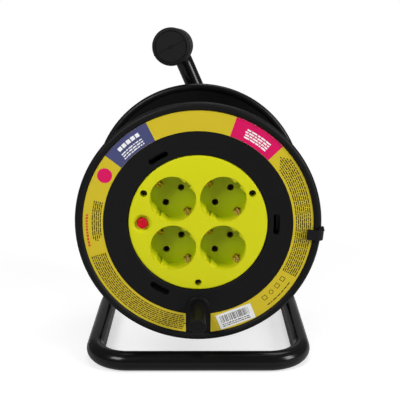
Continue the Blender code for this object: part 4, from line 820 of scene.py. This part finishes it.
label = {
    "ink": 0.00003,            # how far print stands on the film
    "inkSink": 0.000005,       # and how far it reaches into it
    "margin": 0.0001,
    "navy": (116.0, 142.0),
    "magenta": (44.0, 71.0),
    "dotAngle": 151.0,
    "dotCircle": 0.0905,
    "dotRadius": 0.0064,
    "stickerAngle": 291.5,
    "stickerCircle": 0.0904,
    "stickerSize": (0.033, 0.0142),
    "stickerRise": 0.00012,
    "barMargin": 0.003,
    "barWidths": (0.00025, 0.00045, 0.0007),
    "barGaps": (0.0004, 0.0006, 0.0009),
    "barSpan": (-0.36, 0.12),         # of the sticker's height, as are the rows' places
    "slipRows": (0.2, 0.33),
    "slipStroke": (0.001, 0.0035, 0.0009, 0.0006),    # shortest, longest, height and gap
    "slipRoom": 0.002,
    "rowHeight": 0.00092,
    "rowPitch": 0.00172,
    # blocks of plain strokes: first radius, rows, start and end in degrees, stagger per row
    "blocks": (
        (0.0846, 8, -29, 41, 1.4),
        (0.0846, 8, 197, 263, 0.5),
        (0.0842, 5, 166, 190, 1.5),
    ),
    "strokes": (0.7, 3.6, 0.42),      # shortest, longest and gap, in degrees
    "signAngles": (-33.5, -38.5, -43.5, -48.5),
    "ringSign": 2,                    # the sign that is a ring
    "signCircle": 0.0885,
    "signHalf": 0.0021,
    "signLine": 0.0005,
    # single rows: radius, start and end in degrees, height, shortest, longest, gap
    "caption": (0.0955, -50, -33, 0.0009, 0.9, 3.0, 0.5),
    "redRow": (0.0958, 174, 192, 0.0019, 0.9, 1.5, 0.45),
    "paleRows": (
        (0.0935, 122, 136, 0.0034, 1.6, 2.6, 0.6),
        (0.0847, 122, 137, 0.0010, 0.8, 3.0, 0.5),
        (0.0868, 122, 137, 0.0010, 0.8, 3.0, 0.5),
        (0.0889, 122, 137, 0.0010, 0.8, 3.0, 0.5),
        (0.0862, 49, 64, 0.0013, 0.9, 3.4, 0.5),
        (0.0884, 49, 64, 0.0013, 0.9, 3.4, 0.5),
        (0.0906, 49, 64, 0.0013, 0.9, 3.4, 0.5),
        (0.0928, 49, 64, 0.0013, 0.9, 3.4, 0.5),
    ),
}

inkTop = labelFace - label["ink"]
inkUnder = labelFace - label["inkSink"]


def sector(bm, inner, outer, start, end, front, back, steps):
    outline = [polar(outer, start + (end - start) * k / steps) for k in range(steps + 1)]
    outline += [polar(inner, end - (end - start) * k / steps) for k in range(steps + 1)]
    prism(bm, outline, front, back)


def strokeRow(bm, draw, radius, start, end, height, shortest, longest, gap, top=inkTop, under=inkUnder):
    # short printed strokes that follow the ring
    at = start
    while at < end - shortest:
        last = min(at + draw.uniform(shortest, longest), end)
        steps = max(1, round((last - at) / 1.5))
        sector(bm, radius - height / 2, radius + height / 2, at, last, top, under, steps)
        at = last + gap


def makeLabel():
    bm = bmesh.new()
    outline = []
    for radius, way in ((flange["labelOuter"], 1), (flange["labelInner"], -1)):
        half = math.degrees(math.asin(flange["labelGap"] / 2 / radius))
        start, end = 270 + half, 630 - half
        ring = [polar(radius, start + (end - start) * k / 140) for k in range(141)]
        outline += ring[::way]
    prism(bm, outline, labelFace, labelFace + flange["labelThickness"])
    piece("labelRing", bm, "drum", "labelFilm", ("label_ring",), 0.00005, 1)

    top, under = inkTop, inkUnder
    inner, outer = flange["labelInner"] + label["margin"], flange["labelOuter"] - label["margin"]
    navy = bmesh.new()
    sector(navy, inner, outer, *label["navy"], top, under, 20)
    piece("labelNavyPanel", navy, "drum", "navyInk")
    magenta = bmesh.new()
    sector(magenta, inner, outer, *label["magenta"], top, under, 20)
    x, z = polar(label["dotCircle"], label["dotAngle"])
    rod(magenta, label["dotRadius"], top, under, x, z, 40)
    piece("labelMagentaPanels", magenta, "drum", "magentaInk")


def makePrint():
    draw = random.Random(7)
    height, pitch = label["rowHeight"], label["rowPitch"]
    dark = bmesh.new()
    for first, rows, start, end, stagger in label["blocks"]:
        for k in range(rows):
            late = stagger * abs(k - rows / 2)
            strokeRow(dark, draw, first + pitch * k, start, end - late, height, *label["strokes"])
    # a row of plain signs: frames and one ring, without letters
    side, line = label["signHalf"], label["signLine"]
    inner = side - line
    frameBars = (((-side, -side), (side, -inner)), ((-side, inner), (side, side)),
                 ((-side, -inner), (-inner, inner)), ((inner, -inner), (side, inner)))
    for k, angle in enumerate(label["signAngles"]):
        x, z = polar(label["signCircle"], angle)
        if k == label["ringSign"]:
            turned(dark, [(inner, inkTop), (side, inkTop), (side, inkUnder), (inner, inkUnder)], 24, x, z)
            continue
        turn = Matrix.Rotation(math.radians(angle), 2)
        for (x0, z0), (x1, z1) in frameBars:
            corners = [turn @ Vector(c) + Vector((x, z)) for c in ((x0, z0), (x1, z0), (x1, z1), (x0, z1))]
            prism(dark, corners, inkTop, inkUnder)
    strokeRow(dark, draw, *label["caption"])
    piece("labelPrint", dark, "drum", "blackInk")

    red = bmesh.new()
    strokeRow(red, draw, *label["redRow"])
    piece("labelRedPrint", red, "drum", "redInk")

    pale = bmesh.new()
    for row in label["paleRows"]:
        strokeRow(pale, draw, *row, inkTop - label["ink"], inkTop)
    piece("labelPalePrint", pale, "drum", "whiteInk")


def makeSticker():
    # a paper slip with plain bars across it
    draw = random.Random(11)
    wide, tall = label["stickerSize"]
    x, z = polar(label["stickerCircle"], label["stickerAngle"])
    turn = Matrix.Rotation(-math.radians(label["stickerAngle"]), 4, "Y")
    place = drumPlace @ Matrix.Translation((x, 0, z)) @ turn
    bm = bmesh.new()
    front = labelFace - label["stickerRise"]
    block(bm, (-tall / 2, front, -wide / 2), (tall / 2, labelFace - 0.00001, wide / 2))
    piece("labelSticker", bm, "drum", "paper", place=place)
    bars = bmesh.new()
    margin = label["barMargin"]
    at, printed = -wide / 2 + margin, front - label["ink"]
    low, high = (tall * share for share in label["barSpan"])
    while at < wide / 2 - margin:
        thick = draw.choice(label["barWidths"])
        block(bars, (low, printed, at), (high, front, at + thick))
        at += thick + draw.choice(label["barGaps"])
    shortest, longest, height, gap = label["slipStroke"]
    for row in label["slipRows"]:      # short strokes under the bars
        at, low = -wide / 2 + margin, tall * row
        while at < wide / 2 - margin - label["slipRoom"]:
            length = draw.uniform(shortest, longest)
            block(bars, (low, printed, at), (low + height, front, at + length))
            at += length + gap
    piece("stickerBars", bars, "drum", "blackInk", place=place)


makeLabel()
makePrint()
makeSticker()
print("label made")


plate = {
    "radius": 0.0605,
    "thickness": 0.0027,
    "edge": 0.0015,
    "pitch": 0.0434,
    "socketRadius": 0.020,
    "socketDepth": 0.0172,
    "socketWall": 0.0015,
    "socketFloor": 0.0025,
    "guideReach": 0.0173,
    "grooveWidth": 0.006,
    "grooveDepth": 0.0018,
    "guideAngles": (45, 225),
    "guideSetback": 0.0015,
    "pinPitch": 0.019,
    "pinHole": 0.0030,
    "screwAngles": (30, 150, 270),
    "screwCircle": 0.054,
    "wellRadius": 0.0031,
    "wellDepth": 0.010,
    "buttonX": -0.0485,
    "dishRadius": 0.0084,
    "dishFloorRadius": 0.0058,
    "dishDepth": 0.0032,
    "dishBack": 0.005,
    "dishSpread": 0.0003,
    "dishLip": 0.0012,
    "buttonHole": 0.0050,
    "postRadius": 0.0042,
    "postBack": 0.0205,
    "bossRadius": 0.00435,
    "bossBack": 0.012,
    "screwBore": 0.0017,
    "earthSlot": (0.0193, 0.0008, 0.0007, 0.0024),      # distance out, inward, outward, half width
    # painted shade and bounce light deep in the recesses: its colour, and the depths where it starts and
    # where it is full
    "recessShadeColour": (0.40, 0.49, 0.002),
    "recessShadeFrom": 0.004,
    "recessShadeTo": 0.014,
}

socketCentres = [(x * plate["pitch"] / 2, z * plate["pitch"] / 2) for z in (1, -1) for x in (-1, 1)]
pinOffset = plate["pinPitch"] / 2 * math.cos(math.radians(45))


def socketOutline(x, z, steps=36):
    reach, radius = plate["guideReach"], plate["socketRadius"]
    spread = math.degrees(math.acos(reach / radius))
    half = plate["grooveWidth"] / 2
    floor = reach + plate["grooveDepth"]
    points = []
    for angle in plate["guideAngles"]:
        turn = Matrix.Rotation(math.radians(angle), 2)
        points += [turn @ Vector(p) for p in ((reach, -half), (floor, -half), (floor, half), (reach, half))]
        sweep = 180 - 2 * spread
        points += [polar(radius, angle + spread + sweep * k / steps) for k in range(steps + 1)]
    return [(x + px, z + pz) for px, pz in points]


def makePlate():
    edge, radius, thickness = plate["edge"], plate["radius"], plate["thickness"]
    floorBack = plate["socketDepth"] + plate["socketFloor"]
    profile = [(0, 0)] + arc(radius - edge, edge, edge, -90, 0, 6) + [(radius, thickness), (0, thickness)]
    bm = bmesh.new()
    turned(bm, profile, 144)
    bmesh.ops.dissolve_limit(bm, angle_limit=math.radians(0.2), verts=bm.verts, edges=bm.edges)
    made = objectFrom("socketPlate", bm, drumPlace)
    middle = thickness / 2
    cups = bmesh.new()
    for x, z in socketCentres:
        rod(cups, plate["socketRadius"] + plate["socketWall"], middle, floorBack, x, z, 72)
    rod(cups, plate["dishRadius"], middle, plate["dishBack"], plate["buttonX"], 0, 48)
    rod(cups, plate["postRadius"], middle, plate["postBack"], 0, 0, 24)
    cut(made, cups, "UNION")
    screwPlaces = [polar(plate["screwCircle"], angle) for angle in plate["screwAngles"]]
    drill(made, screwPlaces, plate["bossRadius"], middle, plate["bossBack"], 32, "UNION")
    wells = bmesh.new()
    for x, z in socketCentres:
        prism(wells, socketOutline(x, z), -thickness, plate["socketDepth"])
    for x, z in screwPlaces:
        rod(wells, plate["wellRadius"], -thickness, plate["wellDepth"], x, z, 32)
    # the dish round the button has a soft lip
    mouth, lip = plate["dishRadius"] + plate["dishSpread"], plate["dishLip"]
    dish = [(0, -thickness), (mouth + 0.0002, -thickness), (mouth, 0)]
    dish += arc(mouth, lip, lip, -90, -150, 4)[1:]
    dish += [(plate["dishFloorRadius"] + 0.0006, plate["dishDepth"] - 0.0006),
             (plate["dishFloorRadius"] - 0.0002, plate["dishDepth"]), (0, plate["dishDepth"])]
    turned(wells, dish, 64, plate["buttonX"], 0)
    cut(made, wells)
    drill(made, socketCentres, plate["socketRadius"] + 0.0002, -thickness, plate["guideSetback"], 96)
    holes = bmesh.new()
    front, back = through(plate["socketDepth"], floorBack)
    out, inward, outward, half = plate["earthSlot"]
    corners = ((-inward, -half), (outward, -half), (outward, half), (-inward, half))
    turn = Matrix.Rotation(math.radians(135), 2)
    for x, z in socketCentres:
        for side in (1, -1):
            rod(holes, plate["pinHole"], front, back, x + side * pinOffset, z + side * pinOffset, 32)
            lineX, lineZ = polar(side * out, 135)
            prism(holes, [turn @ Vector(c) + Vector((x + lineX, z + lineZ)) for c in corners], front, back)
    rod(holes, plate["buttonHole"], *through(plate["dishDepth"], plate["dishBack"]), plate["buttonX"], 0, 48)
    cut(made, holes)
    drill(made, screwPlaces, plate["screwBore"], *through(plate["wellDepth"], plate["bossBack"]), 24)
    dress(made, "drum", "lime", ("socket_plate",), 0.00025, 2, 32, 40)


def paintRecessShade():
    # painted shade and painted bounce light: the lime turns darker and greener deeper in the recesses, where
    # shade falls and light bounces between the walls
    tree = finishes["lime"].node_tree
    colour = tree.nodes["Principled BSDF"].inputs["Base Color"]
    where = tree.nodes.new("ShaderNodeTexCoord")
    axes = tree.nodes.new("ShaderNodeSeparateXYZ")
    tree.links.new(where.outputs["Object"], axes.inputs[0])
    depth = ranged(tree, axes.outputs["Y"], drumY + plate["recessShadeFrom"], drumY + plate["recessShadeTo"], 0, 1)
    tint = tree.nodes.new("ShaderNodeMix")
    tint.data_type = "RGBA"
    tree.links.new(depth, tint.inputs["Factor"])
    tree.links.new(colour.links[0].from_socket, tint.inputs["A"])
    tint.inputs["B"].default_value = (*plate["recessShadeColour"], 1)
    tree.links.new(tint.outputs["Result"], colour)


makePlate()
# paints shade and bounce light into the lime deep in the recesses
paintRecessShade()
print("socket plate made")


contact = {
    "width": 0.0045,
    "thickness": 0.0006,
    "split": 0.0006,
    "tipDepth": 0.0030,
    "bulge": 0.0050,
    "wallGap": 0.0007,
    "strapDepth": 0.0027,      # behind the recess's floor
    "steps": 12,
}


def contactLine():
    # (distance from the socket's centre, depth) up one arm: floor slot, bulge, back to the wall
    wall = plate["socketRadius"] - contact["wallGap"]
    depth = plate["socketDepth"]
    points = [(wall, depth + contact["strapDepth"]), (wall, depth)]
    for k in range(1, contact["steps"] + 1):
        share = k / contact["steps"]
        y = depth + (contact["tipDepth"] - depth) * share
        lean = math.sin(math.pi * min(1.0, share * 0.95)) ** 1.5
        points.append((wall - contact["bulge"] * lean, y))
    return points


def makeContacts():
    arm = contactLine()
    path = arm[::-1] + [(-u, y) for u, y in arm]
    wall, strap = arm[0]
    half, side, split = contact["thickness"] / 2, contact["width"] / 2, contact["split"] / 2
    turn = Matrix.Rotation(-math.radians(135), 4, "Y")
    for number, (x, z) in enumerate(socketCentres, 1):
        bm = bmesh.new()
        for low, high in ((-side, -split), (split, side)):
            addStrip(bm, path, half, low, high)
        block(bm, (-wall, strap - half, -side), (wall, strap + half, side))
        place = drumPlace @ Matrix.Translation((x, 0, z)) @ turn
        piece(f"earthContact{number}", bm, "drum", "brass", (f"earth_contact_{number}",), 0.00012, 2,
              50, place)


def addStrip(bm, path, half, low, high):
    points = [Vector(p) for p in path]
    sides = []
    for k, point in enumerate(points):
        ahead = points[min(k + 1, len(points) - 1)] - points[max(k - 1, 0)]
        normal = Vector((-ahead.y, ahead.x)).normalized()
        sides.append((point + normal * half, point - normal * half))
    outline = [a for a, b in sides] + [b for a, b in reversed(sides)]
    swept(bm, [(p.x, p.y, low) for p in outline], (0, 0, high - low))


screw = {
    "shank": 0.0014,
    "recess": 0.0011,
    "arm": 0.55,            # of the head's radius, as are the next three
    "slot": 0.13,
    "flat": 0.72,
    "shoulder": 0.93,
    "shoulderDrop": 0.25,   # of the head's height, as is the edge's
    "edgeDrop": 0.6,
    "plateHead": 0.0024,
    "plateHeadDepth": 0.0022,
    "coreHead": 0.0036,
    "coreHeadDepth": 0.002,
}

button = {
    "edge": 0.0009,
    "rimAt": 0.0016,
    "rimDrop": 0.0002,
    "crownDrop": 0.00035,
    "skirt": 0.0065,
    "stem": 0.0022,
}


def makeScrew(name, node, look, x, z, seatY, headY, endY, headRadius):
    # a pan head with a cross recess; the head lies between headY and seatY
    way = 1 if headY > seatY else -1
    shank, tall = screw["shank"], headY - seatY
    profile = [(0, headY), (headRadius * screw["flat"], headY),
               (headRadius * screw["shoulder"], headY - tall * screw["shoulderDrop"]),
               (headRadius, headY - tall * screw["edgeDrop"]), (headRadius, seatY), (shank, seatY),
               (shank, endY), (0, endY)]
    bm = bmesh.new()
    turned(bm, profile, 40, x, z)
    made = objectFrom(name, bm, drumPlace)
    deep = headY - way * screw["recess"]
    arm, thick = headRadius * screw["arm"], headRadius * screw["slot"]
    low, high = sorted((deep, headY + way * cutPast))
    for size in ((arm, thick), (thick, arm)):
        slot = bmesh.new()
        block(slot, (x - size[0], low, z - size[1]), (x + size[0], high, z + size[1]))
        cut(made, slot)
    dress(made, "drum", look, (node,), 0.0001)


def makeScrews():
    for number, angle in enumerate(plate["screwAngles"], 1):
        x, z = polar(plate["screwCircle"], angle)
        front, back = depths(f"plate_screw_{number}")
        # the plate screws take the steel darkened as painted shade for their wells
        makeScrew(f"plateScrew{number}", f"plate_screw_{number}", "wellShadeSteel", x, z,
                  front + screw["plateHeadDepth"], front, back, screw["plateHead"])
    for number in (1, 2, 3, 4):
        low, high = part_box(f"core_screw_{number}")
        x, z = (low.x + high.x) / 2, (low.z + high.z) / 2 - axleZ
        front, back = depths(f"core_screw_{number}")
        makeScrew(f"coreScrew{number}", f"core_screw_{number}", "zinc", x, z,
                  back - screw["coreHeadDepth"], back, front, screw["coreHead"])


def makeButton():
    low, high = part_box("reset_button")
    front, back = depths("reset_button")
    radius = (high.z - low.z) / 2
    edge, stem, skirtBack = button["edge"], button["stem"], front + button["skirt"]
    profile = [(0, front + button["crownDrop"]), (radius - button["rimAt"], front + button["rimDrop"])]
    profile += arc(radius - edge, front + edge, edge, -100, 0, 6)
    profile += [(radius, skirtBack), (stem, skirtBack), (stem, back), (0, back)]
    bm = bmesh.new()
    turned(bm, profile, 48, plate["buttonX"], 0)
    piece("resetButton", bm, "button", "red", ("reset_button",), smooth=50)


makeContacts()
makeScrews()
makeButton()

# the inner pieces keep their own shape
innerLooks = {
    "darkBrass": ("live_contact_bar", "neutral_contact_bar"),
    "grey": ("contact_carrier", "carrier_cover", "breaker_case", "hub_bush"),
    "zinc": ("carrier_screw", "button_spring", "knob_pin"),
}
for look, nodes in innerLooks.items():
    for node in nodes:
        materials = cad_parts[node].data.materials
        materials.clear()
        materials.append(finishes[look])
print("contacts, screws and button made")


def makeKnob():
    front, back = depths("winding_knob")
    radius, neck, edge = knob["radius"], knob["neck"], knob["edge"]
    middle = (front + back) / 2
    dimple = knob["dimple"]
    profile = [(0, front + 0.0001), (dimple, front + 0.0001), (dimple + 0.0002, front + 0.0003),
               (radius - edge - 0.0006, front)]
    profile += arc(radius - edge, front + edge, edge, -90, 0, 6)
    for k in range(1, 8):
        share = k / 8
        y = front + edge + (back - 2 * edge - front) * share
        profile.append((radius - (radius - neck) * math.sin(math.pi * share), y))
    profile += arc(radius - edge / 2, back - edge / 2, edge / 2, 0, 90, 4)
    profile += [(knob["pinBore"], back), (knob["pinBore"], middle), (0, middle)]
    x, z = polar(knob["circle"], 270)
    bm = bmesh.new()
    turned(bm, profile, 56, x, z)
    piece("windingKnob", bm, "knob", "satinBlack", ("winding_knob",), smooth=32)


clip = {
    "angle": -4.5,
    "width": 0.0094,
    "tabWidth": 0.0086,
    "thickness": 0.0022,
    "reach": 0.0124,
    "earReach": 0.0040,
    "earLength": 0.0042,
}


def makeClip():
    beadCentre = flange["radius"] - flange["bead"]
    gap = flange["bead"] + seat
    outer = gap + clip["thickness"]
    tip = flange["radius"] - clip["reach"]
    hook = labelFace - seat
    thick = clip["thickness"]
    path = [(tip, hook), (tip + thick, hook), (tip + thick, frontBead - gap)]
    path += arc(beadCentre, frontBead, gap, -84, 84, 14)
    path += [(tip + thick, frontBead + gap), (tip + thick, frontBead + outer)]
    path += arc(beadCentre, frontBead, outer, 90, -90, 16)
    path += [(tip, frontBead - outer)]
    bm = bmesh.new()
    swept(bm, [(r, y, -clip["width"] / 2) for r, y in path], (0, 0, clip["width"]))
    taper = [v for v in bm.verts if v.co.x < tip + 2 * thick]
    bmesh.ops.scale(bm, vec=(1, 1, clip["tabWidth"] / clip["width"]), verts=taper)
    # the small ear that runs up along the rim
    foot = clip["width"] / 2 - seat
    outside = flange["radius"] + seat
    ear = [(outside + thick * 0.9, foot), (outside + thick * 0.3, foot + clip["earLength"]),
           (outside - thick * 0.5, foot + clip["earLength"]), (outside - clip["earReach"], foot)]
    prism(bm, ear, frontBead - outer + 0.0002, frontBead - gap - 0.0002)
    turn = Matrix.Rotation(-math.radians(clip["angle"]), 4, "Y")
    piece("rimClip", bm, "drum", "smoothBlack", ("rim_clip",), 0.0005, 3, 40,
          drumPlace @ turn)


makeKnob()
makeClip()
print("knob and clip made")
